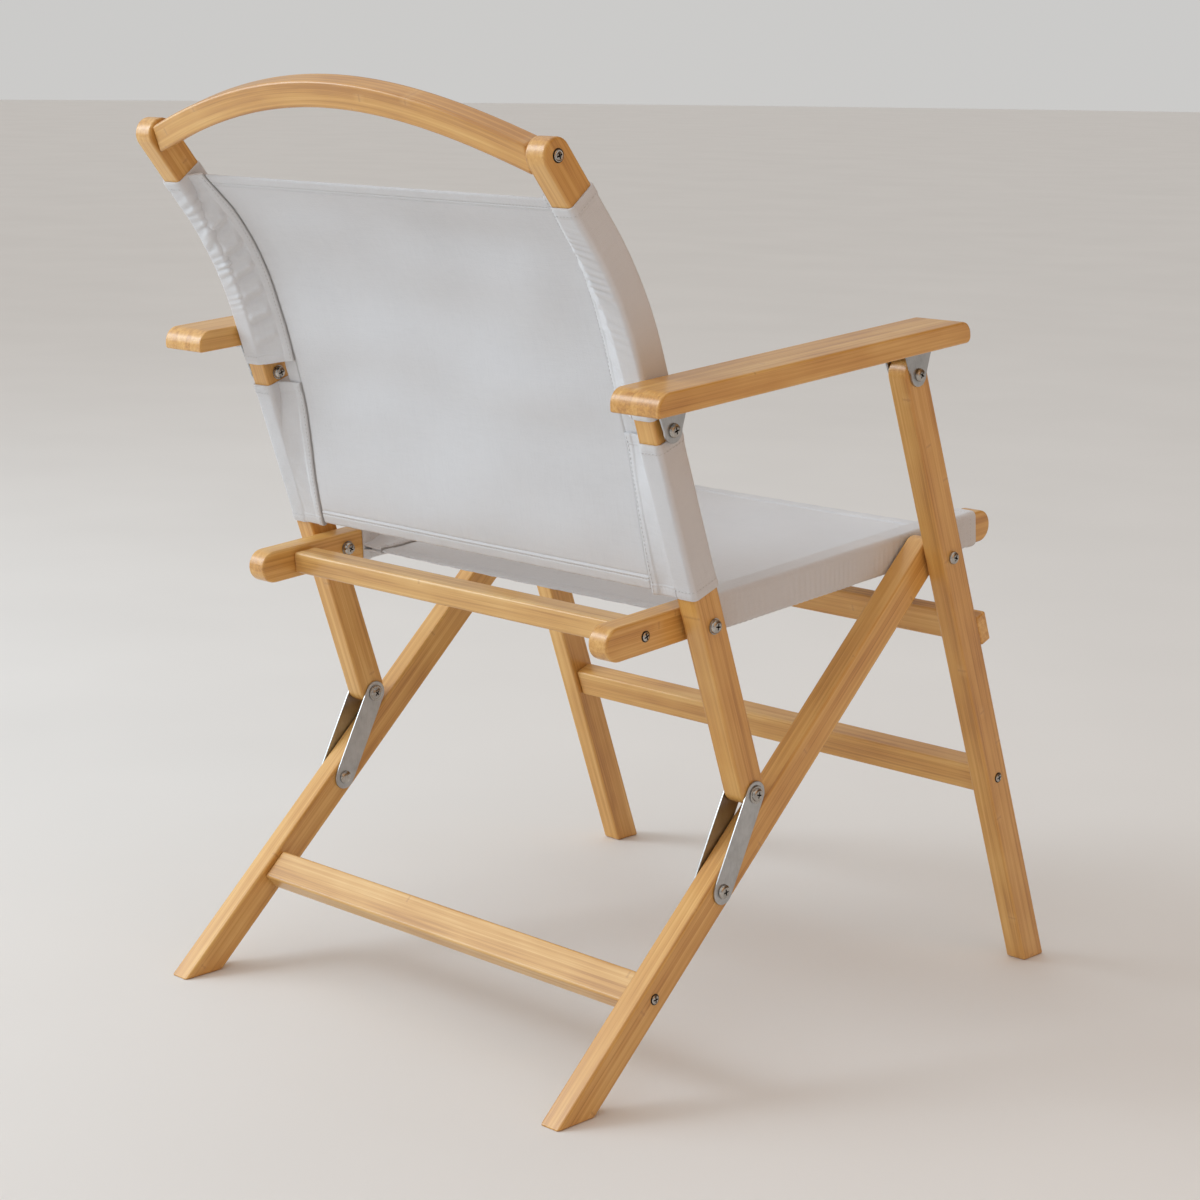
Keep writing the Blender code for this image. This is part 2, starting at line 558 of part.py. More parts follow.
for tag, s in SIDES:
    x0, x1 = span(s, ARM_IN, ARM_OUT)
    prism("armrest_" + tag, outline, x0, x1, A_REAR, BAMBOO, 2.4)
    top = ARM_LIFT - GAP
    # front bracket: two ears astride the front leg
    br = prism("arm_bracket_front_" + tag, [arm_pt(A_LEN - 19, top - 1.8), arm_pt(A_LEN + 19, top - 1.8), arm_pt(A_LEN + 19, top), arm_pt(A_LEN - 19, top)],
               *span(s, F_IN - 2.2, F_OUT + 2.2), A_REAR, ZINC)
    for k, (a, b) in enumerate(((F_OUT + 0.4, F_OUT + 2.2), (F_IN - 2.2, F_IN - 0.4))):
        x0, x1 = span(s, a, b)
        union(br, prism("ear_front_%s%d" % (tag, k), ear(A_LEN, 10.0, 19.0, top - 0.5), x0, x1, A_REAR, ZINC))
    drill(br, [(A_FRONT[0], A_FRONT[1], HOLE_R, *span(s, F_IN - 6.0, F_OUT + 6.0))])
    turned("arm_bolt_front_" + tag, A_FRONT,
           [(s * (F_IN - 4.6), 0.0), (s * (F_IN - 4.6), 4.6), (s * (F_IN - 2.5), 5.2), (s * (F_IN - 2.5), BOLT_R), (s * (F_OUT + 2.5), BOLT_R), (s * (F_OUT + 2.5), 5.6),
            (s * (F_OUT + 4.4), 5.0), (s * (F_OUT + 5.4), 3.0), (s * (F_OUT + 5.4), 0.0)],
           A_REAR, BOLT)
    # rear bracket: one ear beside the back post
    e0, e1 = B_OUT + 4.6, B_OUT + 6.4
    br = prism("arm_bracket_rear_" + tag, [arm_pt(-19, top - 1.8), arm_pt(19, top - 1.8), arm_pt(19, top), arm_pt(-19, top)],
               *span(s, e0, ARM_OUT - 12.0), A_REAR, ZINC)
    union(br, prism("ear_rear_" + tag, ear(0.0, 10.0, 19.0, top - 0.5), *span(s, e0, e1), A_REAR, ZINC))
    drill(br, [(A_REAR[0], A_REAR[1], HOLE_R, *span(s, e0 - 3.0, e1 + 3.0))])
    turned("arm_bolt_rear_" + tag, A_REAR,
           [(s * (B_IN + 0.4), 0.0), (s * (B_IN + 0.4), BOLT_R), (s * (e1 + 0.3), BOLT_R), (s * (e1 + 0.3), 5.8),
            (s * (e1 + 2.2), 5.2), (s * (e1 + 3.2), 3.0), (s * (e1 + 3.2), 0.0)],
           A_REAR, BOLT)
    turned("arm_nut_rear_" + tag, A_REAR,
           [(s * (B_IN - GAP), 0.0), (s * (B_IN - GAP), 6.0), (s * (B_IN - 3.0), 6.0), (s * (B_IN - 4.6), 4.2), (s * (B_IN - 5.2), 2.0), (s * (B_IN - 5.2), 0.0)],
           P_REAR, BOLT)
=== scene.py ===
"""Looks for the folding bamboo armchair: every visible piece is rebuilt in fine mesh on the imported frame."""
from math import sin, cos, pi, radians, sqrt, atan2, acos, hypot, exp, floor
import bpy
import bmesh
from mathutils import Vector, Matrix


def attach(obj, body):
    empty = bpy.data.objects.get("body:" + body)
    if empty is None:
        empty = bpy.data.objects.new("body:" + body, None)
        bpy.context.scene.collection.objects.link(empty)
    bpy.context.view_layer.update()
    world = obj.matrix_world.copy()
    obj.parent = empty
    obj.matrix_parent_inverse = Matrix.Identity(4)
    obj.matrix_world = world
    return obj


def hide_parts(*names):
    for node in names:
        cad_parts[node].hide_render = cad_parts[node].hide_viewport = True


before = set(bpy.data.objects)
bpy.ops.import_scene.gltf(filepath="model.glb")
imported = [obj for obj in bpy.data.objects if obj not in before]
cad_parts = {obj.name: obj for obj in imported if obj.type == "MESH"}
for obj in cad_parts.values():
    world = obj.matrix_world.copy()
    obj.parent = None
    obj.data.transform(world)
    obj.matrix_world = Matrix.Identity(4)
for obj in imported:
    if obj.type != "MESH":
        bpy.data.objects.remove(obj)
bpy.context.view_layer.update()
scene = bpy.context.scene

# ------------------------------------------------------------ shared sizes (mm)
YM = 6.373
P_REAR, P_FRONT = (124.5, 374.0), (-156.7, 395.2)
A_REAR, A_FRONT = (183.0, 537.0), (-98.2, 558.2)
P_LINK, Q_LINK = (71.383, 226.0), (109.071, 151.9)
S_IN, S_OUT, B_IN, B_OUT, F_IN, F_OUT = 199.1, 219.9, 223.6, 244.4, 247.3, 267.5
ARM_IN, ARM_OUT = 246.7, 297.6
LEG_W, POST_W, RAIL_W = 28.0, 27.5, 28.4
FRONT_FOOT, REAR_FOOT = (-304.5, 0.0), (275.0, 0.0)
T_SCREW = (305.9, 748.3)
SIDES = (("L", 1.0), ("R", -1.0))


def sub(a, b):
    return (a[0] - b[0], a[1] - b[1])


def unit(a):
    n = hypot(a[0], a[1])
    return (a[0] / n, a[1] / n)


def at(o, d, u, n=0.0):
    return (o[0] + d[0] * u - d[1] * n, o[1] + d[1] * u + d[0] * n)


def w(x, y, z):
    """Side-view millimetres to metres in the row frame."""
    return (x * 0.001, (y - YM) * 0.001, z * 0.001)


def smooth01(t):
    t = min(1.0, max(0.0, t))
    return t * t * (3 - 2 * t)


def span(s, a, b):
    return (s * a, s * b) if s > 0 else (s * b, s * a)


def rnd(i):
    """Fixed pseudo-random number in 0..1."""
    v = sin(i * 12.9898 + 4.1414) * 43758.5453
    return v - floor(v)


D_RAIL = unit(sub(P_REAR, P_FRONT))
D_POST = unit(sub(A_REAR, P_REAR))
D_REAR = unit(sub(REAR_FOOT, P_FRONT))
D_FRONT = unit((-0.3696, -1.0))
D_ARM = unit(sub(A_FRONT, A_REAR))

# ------------------------------------------------------------------ materials


class Nodes:
    """Small helper for building a node tree."""

    def __init__(self, name):
        self.mat = bpy.data.materials.new(name)
        self.mat.use_nodes = True
        self.t = self.mat.node_tree
        self.bsdf = self.t.nodes["Principled BSDF"]

    def add(self, kind, **props):
        n = self.t.nodes.new(kind)
        for k, v in props.items():
            setattr(n, k, v)
        return n

    def link(self, a, b):
        self.t.links.new(a, b)

    def put(self, sock, v):
        if hasattr(v, "is_output"):
            self.link(v, sock)
        else:
            sock.default_value = v

    def math(self, op, a, b=None, c=None, clamp=False):
        n = self.add("ShaderNodeMath", operation=op, use_clamp=clamp)
        self.put(n.inputs[0], a)
        if b is not None:
            self.put(n.inputs[1], b)
        if c is not None:
            self.put(n.inputs[2], c)
        return n.outputs[0]

    def vec(self, x, y, z):
        n = self.add("ShaderNodeCombineXYZ")
        for s, v in zip(n.inputs, (x, y, z)):
            self.put(s, v)
        return n.outputs[0]

    def split(self, v):
        n = self.add("ShaderNodeSeparateXYZ")
        self.link(v, n.inputs[0])
        return n.outputs

    def noise(self, v, scale, detail=3.0, rough=0.55):
        n = self.add("ShaderNodeTexNoise")
        self.link(v, n.inputs["Vector"])
        n.inputs["Scale"].default_value = scale
        n.inputs["Detail"].default_value = detail
        n.inputs["Roughness"].default_value = rough
        return n.outputs[0]

    def white(self, v):
        n = self.add("ShaderNodeTexWhiteNoise")
        n.noise_dimensions = '3D'
        self.link(v, n.inputs["Vector"])
        return n.outputs["Value"]

    def ramp(self, f, stops):
        n = self.add("ShaderNodeValToRGB")
        e = n.color_ramp.elements
        while len(e) < len(stops):
            e.new(0.5)
        for el, (p, c) in zip(e, stops):
            el.position = p
            el.color = (c[0], c[1], c[2], 1.0)
        self.link(f, n.inputs[0])
        return n.outputs[0]

    def mix(self, f, a, b, mode='MIX'):
        n = self.add("ShaderNodeMix", data_type='RGBA', blend_type=mode)
        self.put(n.inputs[0], f)
        self.put(n.inputs[6], a)
        self.put(n.inputs[7], b)
        return n.outputs[2]

    def bump(self, h, strength, dist):
        n = self.add("ShaderNodeBump")
        n.inputs["Strength"].default_value = strength
        n.inputs["Distance"].default_value = dist
        self.link(h, n.inputs["Height"])
        self.link(n.outputs[0], self.bsdf.inputs["Normal"])


def bamboo(name, lift):
    """Laminated bamboo: narrow strips, long fibres, staggered joints of the culm, satin lacquer."""
    m = Nodes(name)
    g = m.add("ShaderNodeAttribute", attribute_name="grain")
    a, b, c = m.split(g.outputs["Vector"])          # mm along, across, through
    strip = m.math('FLOOR', m.math('MULTIPLY', m.math('ADD', b, 500.0), 1 / 6.4))
    layer = m.math('FLOOR', m.math('MULTIPLY', m.math('ADD', c, 903.0), 1 / 21.0))
    sid = m.vec(strip, layer, 0.37)
    tint = m.white(sid)
    shift = m.white(m.vec(strip, layer, 5.11))
    fibre = m.noise(m.vec(m.math('MULTIPLY', a, 0.012), m.math('MULTIPLY', b, 1.1), m.math('MULTIPLY', c, 1.1)), 1.0, 4.0, 0.6)
    streak = m.noise(m.vec(m.math('MULTIPLY', a, 0.004), m.math('MULTIPLY', b, 0.32), m.math('MULTIPLY', c, 0.32)), 1.0, 2.0, 0.5)
    cloud = m.noise(m.vec(m.math('MULTIPLY', a, 0.012), m.math('MULTIPLY', b, 0.03), m.math('MULTIPLY', c, 0.03)), 1.0, 2.0, 0.5)
    # culm joints, one about every 260 mm of each strip
    pos = m.math('FRACT', m.math('ADD', m.math('MULTIPLY', a, 1 / 263.0), m.math('MULTIPLY', shift, 1.0)))
    near = m.math('MULTIPLY', m.math('ABSOLUTE', m.math('SUBTRACT', pos, 0.5)), 263.0)      # mm from the joint
    wob = m.math('MULTIPLY', m.math('SUBTRACT', fibre, 0.5), 4.0)
    near = m.math('ABSOLUTE', m.math('ADD', near, wob))
    line = m.math('SUBTRACT', 1.0, m.math('MULTIPLY', near, 1 / 1.6), clamp=True)
    halo = m.math('SUBTRACT', 1.0, m.math('MULTIPLY', near, 1 / 7.0), clamp=True)
    has = m.math('GREATER_THAN', m.white(m.vec(strip, layer, 9.7)), 0.45)
    line = m.math('MULTIPLY', line, has)
    halo = m.math('MULTIPLY', halo, has)
    mixv = m.math('ADD', m.math('MULTIPLY', fibre, 0.30), m.math('ADD', m.math('MULTIPLY', streak, 0.38), m.math('MULTIPLY', cloud, 0.32)))
    mixv = m.math('ADD', mixv, m.math('MULTIPLY', m.math('SUBTRACT', tint, 0.5), 0.11))
    tones = ((0.38, (0.505, 0.230, 0.050)), (0.465, (0.640, 0.322, 0.076)), (0.54, (0.705, 0.380, 0.100)), (0.64, (0.800, 0.482, 0.156)))
    col = m.ramp(mixv, [(p_, tuple(min(0.9, v * l_) for v, l_ in zip(t_, lift))) for p_, t_ in tones])
    col = m.mix(m.math('MULTIPLY', halo, 0.30), col, (0.80, 0.50, 0.190, 1.0))
    col = m.mix(m.math('MULTIPLY', line, 0.42), col, (0.40, 0.155, 0.040, 1.0))
    m.link(col, m.bsdf.inputs["Base Color"])
    rough = m.math('ADD', 0.34, m.math('MULTIPLY', fibre, 0.16))
    m.link(rough, m.bsdf.inputs["Roughness"])
    m.bsdf.inputs["Specular IOR Level"].default_value = 0.42
    m.bsdf.inputs["Coat Weight"].default_value = 0.60
    m.bsdf.inputs["Coat Roughness"].default_value = 0.25
    m.bump(m.math('SUBTRACT', fibre, m.math('MULTIPLY', line, 0.5)), 0.10, 0.0004)
    return m.mat


def canvas(name, tone):
    """Plain-weave cotton canvas; cloth attribute is mm along and across the threads, and its third value is ten times a
    noise seed plus a share of painted shade.
    """
    m = Nodes(name)
    g = m.add("ShaderNodeAttribute", attribute_name="cloth")
    s, t, code = m.split(g.outputs["Vector"])
    # third value: the tens give the noise seed, the rest is the share of painted shade
    r = m.math('FLOOR', m.math('MULTIPLY', code, 0.1))
    painted_shade = m.math('SUBTRACT', code, m.math('MULTIPLY', r, 10.0), clamp=True)
    r = m.math('MULTIPLY', r, 1.7)
    k = 2 * pi / 0.95
    ws = m.math('SINE', m.math('MULTIPLY', s, k))
    wt = m.math('SINE', m.math('MULTIPLY', t, k))
    weave = m.math('MULTIPLY', ws, wt)
    slub_s = m.noise(m.vec(m.math('MULTIPLY', s, 0.05), m.math('MULTIPLY', t, 0.9), r), 1.0, 3.0, 0.6)
    slub_t = m.noise(m.vec(m.math('MULTIPLY', s, 0.9), m.math('MULTIPLY', t, 0.05), r), 1.0, 3.0, 0.6)
    slub = m.math('MULTIPLY', m.math('ADD', slub_s, slub_t), 0.5)
    cloud = m.noise(m.vec(m.math('MULTIPLY', s, 0.012), m.math('MULTIPLY', t, 0.012), r), 1.0, 3.0, 0.5)
    f = m.math('ADD', m.math('MULTIPLY', slub, 0.62), m.math('ADD', m.math('MULTIPLY', cloud, 0.32), m.math('MULTIPLY', weave, 0.04)))
    lo = tuple(x * 0.94 for x in tone)
    hi = tuple(min(0.93, x * 1.035) for x in tone)
    col = m.ramp(f, [(0.30, lo), (0.48, tone), (0.66, hi)])
    # painted shade: the colour goes dark in the seam grooves and in the valleys of the gathers
    col = m.mix(m.math('MULTIPLY', painted_shade, 0.52), col, (0.26, 0.25, 0.24, 1.0))
    m.link(col, m.bsdf.inputs["Base Color"])
    m.link(m.math('ADD', 0.84, m.math('MULTIPLY', slub, 0.12)), m.bsdf.inputs["Roughness"])
    m.bsdf.inputs["Specular IOR Level"].default_value = 0.18
    m.bsdf.inputs["Sheen Weight"].default_value = 0.18
    m.bsdf.inputs["Sheen Roughness"].default_value = 0.5
    m.bump(m.math('ADD', m.math('MULTIPLY', weave, 0.5), m.math('MULTIPLY', slub, 1.2)), 0.28, 0.0004)
    return m.mat


def steel(name, tone, rough, brush, dull):
    """Plated steel with a faint brushed lay and handling marks."""
    m = Nodes(name)
    tc = m.add("ShaderNodeTexCoord")
    x, y, z = m.split(tc.outputs["Object"])
    lay = m.noise(m.vec(m.math('MULTIPLY', x, 900.0), m.math('MULTIPLY', y, 900.0 if brush < 0 else 2600.0), m.math('MULTIPLY', z, 160.0)), 1.0, 3.0, 0.6)
    blot = m.noise(m.vec(x, y, z), 85.0, 4.0, 0.6)
    f = m.math('ADD', m.math('MULTIPLY', lay, 0.45), m.math('MULTIPLY', blot, 0.55))
    lo = tuple(v * dull for v in tone)
    col = m.ramp(f, [(0.34, lo), (0.62, tone)])
    m.link(col, m.bsdf.inputs["Base Color"])
    m.bsdf.inputs["Metallic"].default_value = 1.0
    m.link(m.math('ADD', rough, m.math('MULTIPLY', f, 0.22)), m.bsdf.inputs["Roughness"])
    m.bump(lay, abs(brush), 0.0002)
    return m.mat


BAMBOO = bamboo("bamboo_lacquer", (1.0, 1.0, 1.0))
PALE = bamboo("bamboo_pale", (1.03, 1.13, 1.45))      # lighter strips of the cross pieces
CANVAS = canvas("canvas_white", (0.700, 0.708, 0.730))
THREAD = canvas("thread_white", (0.60, 0.60, 0.61))
ZINC = steel("zinc_plate", (0.56, 0.57, 0.575), 0.20, 0.05, 0.74)
NICKEL = steel("nickel_bolt", (0.56, 0.54, 0.505), 0.13, -0.03, 0.60)
# near-black steel that stands for shade: painted shade in the driver recesses and in the counterbores round the screws
RECESS_SHADE = steel("recess_painted_shade", (0.055, 0.050, 0.046), 0.45, -0.03, 0.6)

# -------------------------------------------------------------- mesh helpers


def finish_object(name, me, mat, body, nodes):
    if mat is not None:
        me.materials.clear()
        me.materials.append(mat)
    ob = bpy.data.objects.new(name, me)
    scene.collection.objects.link(ob)
    if nodes:
        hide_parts(*nodes)
    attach(ob, body)
    return ob


def baked(ob):
    """Mesh of ob with its modifiers applied; ob is removed."""
    dg = bpy.context.evaluated_depsgraph_get()
    dg.update()
    me = bpy.data.meshes.new_from_object(ob.evaluated_get(dg), preserve_all_data_layers=True, depsgraph=dg)
    bpy.data.objects.remove(ob, do_unlink=True)
    return me


def raw_object(verts, faces, attr=None, attr_name="grain"):
    me = bpy.data.meshes.new("raw")
    me.from_pydata([w(*v) for v in verts], [], faces)
    if attr is not None:
        at_ = me.attributes.new(attr_name, 'FLOAT_VECTOR', 'POINT')
        flat = [c for a in attr for c in a]
        at_.data.foreach_set("vector", flat)
    bm = bmesh.new()
    bm.from_mesh(me)
    bmesh.ops.recalc_face_normals(bm, faces=bm.faces[:])
    bm.to_mesh(me)
    bm.free()
    ob = bpy.data.objects.new("raw", me)
    scene.collection.objects.link(ob)
    return ob


def bevelled(ob, width, seg=3, limit=40.0):
    m = ob.modifiers.new("b", 'BEVEL')
    m.width = width * 0.001
    m.segments = seg
    m.limit_method = 'ANGLE'
    m.angle_limit = radians(limit)
    m.harden_normals = True
    m.profile = 0.55
    ob.data.shade_smooth()
    return baked(ob)


def prism(outline, x0, x1, grain, cuts=0):
    """Extruded side-view outline. grain(x, y, z) gives mm along, across and through the strips."""
    n = len(outline)
    xs = [x0 + (x1 - x0) * i / (cuts + 1) for i in range(cuts + 2)]
    verts = [(x, y, z) for x in xs for y, z in outline]
    faces = [tuple(range(n)), tuple(range(len(verts) - 1, len(verts) - n - 1, -1))]
    for k in range(len(xs) - 1):
        for i in range(n):
            j = (i + 1) % n
            faces.append((k * n + i, k * n + j, (k + 1) * n + j, (k + 1) * n + i))
    return raw_object(verts, faces, [grain(*v) for v in verts])


def arc(c, r, a0, a1, n):
    return [(c[0] + r * cos(a0 + (a1 - a0) * i / n), c[1] + r * sin(a0 + (a1 - a0) * i / n)) for i in range(n + 1)]


def clip(poly, p0, nrm):
    out = []
    for i in range(len(poly)):
        a, b = poly[i], poly[(i + 1) % len(poly)]
        da = (a[0] - p0[0]) * nrm[0] + (a[1] - p0[1]) * nrm[1]
        db = (b[0] - p0[0]) * nrm[0] + (b[1] - p0[1]) * nrm[1]
        if da >= 0:
            out.append(a)
        if da * db < 0:
            t = da / (da - db)
            out.append((a[0] + (b[0] - a[0]) * t, a[1] + (b[1] - a[1]) * t))
    return out


def stadium(a, b, r0, r1, n=14):
    d = unit(sub(b, a))
    t = atan2(d[1], d[0])
    return arc(a, r0, t + pi / 2, t + 3 * pi / 2, n) + arc(b, r1, t - pi / 2, t + pi / 2, n)


def along(o, d, seed):
    """Grain that runs along side-view direction d."""
    def g(x, y, z):
        py, pz = y - o[0], z - o[1]
        return (py * d[0] + pz * d[1] + 977.0 * rnd(seed), -py * d[1] + pz * d[0] + 61.0 * rnd(seed + 1), x + 37.0 * rnd(seed + 2))
    return g


def across(o, d, seed):
    """Grain that runs along X, for cross pieces."""
    def g(x, y, z):
        py, pz = y - o[0], z - o[1]
        return (x + 977.0 * rnd(seed), py * d[0] + pz * d[1] + 61.0 * rnd(seed + 1), -py * d[1] + pz * d[0] + 37.0 * rnd(seed + 2))
    return g


def wood(name, ob, body, nodes, bevel=2.3, mat=None):
    me = bevelled(ob, bevel)
    return finish_object(name, me, mat or BAMBOO, body, nodes)


# --------------------------------------------------------------- wooden pieces
for k, (tag, s) in enumerate(SIDES):
    o = stadium(at(P_FRONT, D_RAIL, -119.6 + RAIL_W / 2), at(P_FRONT, D_RAIL, 379.8 - RAIL_W / 2), RAIL_W / 2, RAIL_W / 2)
    wood("rail_wood_" + tag, prism(o, *span(s, S_IN, S_OUT), along(P_FRONT, D_RAIL, 10 + k)), "seat", ["seat_rail_" + tag])
c = at(P_FRONT, D_RAIL, 332.5)
wood("cross_rail_wood", prism([at(c, D_RAIL, -12, -9.3), at(c, D_RAIL, 12, -9.3), at(c, D_RAIL, 12, 9.3), at(c, D_RAIL, -12, 9.3)],
                              -198.8, 198.8, across(c, D_RAIL, 14)), "seat", ["rear_cross_rail"], mat=PALE)

# back posts
POST_BEND_Z, POST_BEND_R = 595.0, 324.0
lean0, lean1 = atan2(D_POST[0], D_POST[1]), radians(39.0)
u_bend = (POST_BEND_Z - P_REAR[1]) / D_POST[1]
bend_start = at(P_REAR, D_POST, u_bend)
centre = (bend_start[0] + POST_BEND_R * cos(lean0), bend_start[1] - POST_BEND_R * sin(lean0))
u_straight = u_bend + POST_BEND_R * (lean1 - lean0)
u_top = u_straight + (T_SCREW[1] - (centre[1] + POST_BEND_R * sin(lean1))) / cos(lean1)


def post_line(u):
    if u <= u_bend:
        return at(P_REAR, D_POST, u), D_POST
    lean = lean0 + (u - u_bend) / POST_BEND_R
    if lean <= lean1:
        return (centre[0] - POST_BEND_R * cos(lean), centre[1] + POST_BEND_R * sin(lean)), (sin(lean), cos(lean))
    p = (centre[0] - POST_BEND_R * cos(lean1), centre[1] + POST_BEND_R * sin(lean1))
    d = (sin(lean1), cos(lean1))
    return at(p, d, u - u_straight), d


def rear_of(p, d, n):
    return (p[0] + d[1] * n, p[1] - d[0] * n)


def post_uv(y, z):
    """u along and n behind the post centre line for a side-view point."""
    py, pz = y - P_REAR[0], z - P_REAR[1]
    u = py * D_POST[0] + pz * D_POST[1]
    if u <= u_bend:
        return u, py * D_POST[1] - pz * D_POST[0]
    cy, cz = y - centre[0], z - centre[1]
    lean = atan2(cz, -cy)
    if lean <= lean1:
        return u_bend + POST_BEND_R * (lean - lean0), POST_BEND_R - hypot(cy, cz)
    p, d = post_line(u_straight + 0.01)
    qy, qz = y - p[0], z - p[1]
    return u_straight + qy * d[0] + qz * d[1], qy * d[1] - qz * d[0]


p_top, d_top = post_line(u_top)
stations = [-152.0, -60.0, 60.0, 150.0, u_bend] + [u_bend + (u_straight - u_bend) * i / 16 for i in range(1, 17)] + [u_top]
rear_edge = [rear_of(*post_line(u), POST_W / 2) for u in stations]
front_edge = [rear_of(*post_line(u), -POST_W / 2) for u in stations]
t = atan2(d_top[1], d_top[0])
cap = arc(p_top, POST_W / 2, t - pi / 2, t + pi / 2, 16)
t = atan2(D_POST[1], D_POST[0])
foot = arc(at(P_REAR, D_POST, -152.0), POST_W / 2, t + pi / 2, t + 3 * pi / 2, 16)
post_outline = rear_edge[1:-1] + cap + front_edge[1:-1][::-1] + foot
for k, (tag, s) in enumerate(SIDES):
    def g(x, y, z, k=k):
        u, n = post_uv(y, z)
        return (u + 977.0 * rnd(20 + k), n + 20.0 * rnd(22 + k), x + 17.0 * k)
    wood("post_wood_" + tag, prism(post_outline, *span(s, B_IN, B_OUT), g), "back", ["back_post_" + tag])

# arched top rail
tilt = radians(20.0)
ARCH_H, ARCH_T = 22.0, 19.0
verts, faces, attr = [], [], []
NA = 72
xa = B_IN - 0.9
length = 0.0
prev = None
for i in range(NA + 1):
    x = -xa + 2 * xa * i / NA
    v = 43.6 + 88.9 * (cos(0.00475 * x) - 1)
    slope = -88.9 * 0.00475 * sin(0.00475 * x)
    if prev:
        length += hypot(x - prev[0], v - prev[1])
    prev = (x, v)
    q = sqrt(1 + slope * slope)
    nx, nv = (0.0, q) if i in (0, NA) else (-slope / q, 1 / q)
    for h, e in ((-1, -1), (1, -1), (1, 1), (-1, 1)):
        px, pv, pw = x + nx * h * ARCH_H / 2, v + nv * h * ARCH_H / 2, e * ARCH_T / 2
        verts.append((px, p_top[0] + pv * sin(tilt) + pw * cos(tilt), p_top[1] + pv * cos(tilt) - pw * sin(tilt)))
        attr.append((length + 311.0, h * ARCH_H / 2 + 7.0, pw + 11.0))
for i in range(NA):
    for k in range(4):
        j = (k + 1) % 4
        faces.append((4 * i + k, 4 * i + j, 4 * i + 4 + j, 4 * i + 4 + k))
faces += [(0, 1, 2, 3), (4 * NA, 4 * NA + 1, 4 * NA + 2, 4 * NA + 3)]
wood("arch_wood", raw_object(verts, faces, attr), "back", ["top_arch"], 2.6)

# front frame
leg_top = at(FRONT_FOOT, (-D_FRONT[0], -D_FRONT[1]), A_FRONT[1] / -D_FRONT[1] + 0.5)
o = clip(stadium(at(FRONT_FOOT, D_FRONT, 40.0), leg_top, LEG_W / 2, LEG_W / 2), (0, 0), (0, 1))
for k, (tag, s) in enumerate(SIDES):
    wood("front_leg_wood_" + tag, prism(o, *span(s, F_IN, F_OUT), along(P_FRONT, D_FRONT, 30 + 3 * k)), "front_frame", ["front_leg_" + tag])
c = (-236.5, 184.0)
wood("front_stretcher_wood", prism([at(c, D_FRONT, -13.5, -9.5), at(c, D_FRONT, 13.5, -9.5), at(c, D_FRONT, 13.5, 9.5), at(c, D_FRONT, -13.5, 9.5)],
                                   -247.0, 247.0, across(c, D_FRONT, 40)), "front_frame", ["front_stretcher"])
c = at(FRONT_FOOT, D_FRONT, -339.5)
n0, n1 = LEG_W / 2 + 0.3, LEG_W / 2 + 13.3
wood("front_board_wood", prism([at(c, D_FRONT, -14.2, -n0), at(c, D_FRONT, 14.2, -n0), at(c, D_FRONT, 14.2, -n1), at(c, D_FRONT, -14.2, -n1)],
                               -F_OUT, F_OUT, across(c, D_FRONT, 44)), "front_frame", ["front_board"])

# rear frame
o = clip(stadium(P_FRONT, at(REAR_FOOT, D_REAR, 40.0), LEG_W / 2, LEG_W / 2), (0, 0), (0, 1))
for k, (tag, s) in enumerate(SIDES):
    wood("rear_leg_wood_" + tag, prism(o, *span(s, B_IN, B_OUT), along(P_FRONT, D_REAR, 50 + 3 * k)), "rear_frame", ["rear_leg_" + tag])
c = at(P_FRONT, D_REAR, 466.6)
wood("rear_stretcher_wood", prism([at(c, D_REAR, -14.3, -9.25), at(c, D_REAR, 14.3, -9.25), at(c, D_REAR, 14.3, 9.25), at(c, D_REAR, -14.3, 9.25)],
                                  -223.3, 223.3, across(c, D_REAR, 60)), "rear_frame", ["rear_stretcher"], mat=PALE)


# armrests
def arm_pt(u, h):
    return at(A_REAR, D_ARM, u, -h)


def fillet(u, h, r, su, sh, n=10):
    cu, ch = u + su * r, h + sh * r
    return [(cu - su * r * cos(i / n * pi / 2), ch - sh * r * sin(i / n * pi / 2)) for i in range(n + 1)]


ARM_LIFT, ARM_T, ARM_BACK, ARM_FORE = 24.7, 18.5, 65.7, 316.9
h0, h1 = ARM_LIFT, ARM_LIFT + ARM_T
prof = fillet(-ARM_BACK, h1, 13.0, 1, -1) + fillet(ARM_FORE, h1, 11.0, -1, -1)[::-1] + fillet(ARM_FORE, h0, 5.0, -1, 1, 5) + fillet(-ARM_BACK, h0, 2.0, 1, 1, 4)[::-1]
for k, (tag, s) in enumerate(SIDES):
    def g(x, y, z, k=k):
        py, pz = y - A_REAR[0], z - A_REAR[1]
        return (py * D_ARM[0] + pz * D_ARM[1] + 977.0 * rnd(70 + k), x + 31.0 * k, -py * D_ARM[1] + pz * D_ARM[0] + 20.0)
    wood("armrest_wood_" + tag, prism([arm_pt(u, h) for u, h in prof], *span(s, ARM_IN, ARM_OUT), g), "arm_" + tag, ["armrest_" + tag], 2.4)

# ---------------------------------------------------------------- steel pieces


def metal(name, me, mat, body, nodes):
    return finish_object(name, me, mat, body, nodes)


def no_grain(x, y, z):
    return (0.0, 0.0, 0.0)


for tag, s in SIDES:
    for kind, a, b in (("outer", B_OUT + 0.4, B_OUT + 2.0), ("inner", B_IN - 2.0, B_IN - 0.4)):
        me = bevelled(prism(stadium(P_LINK, Q_LINK, 11.0, 11.0, 18), *span(s, a, b), no_grain), 0.45, 2)
        metal("link_%s_%s" % (kind, tag), me, ZINC, "link_" + tag, ["link_plate_%s_%s" % (kind, tag)])


def ear(cu, r, wide, top, n=14):
    pts = [(cu + r * cos(pi + pi * i / n), r * sin(pi + pi * i / n)) for i in range(n + 1)]
    pts += [(cu + wide, top), (cu - wide, top)]
    return [arm_pt(u, h) for u, h in pts]


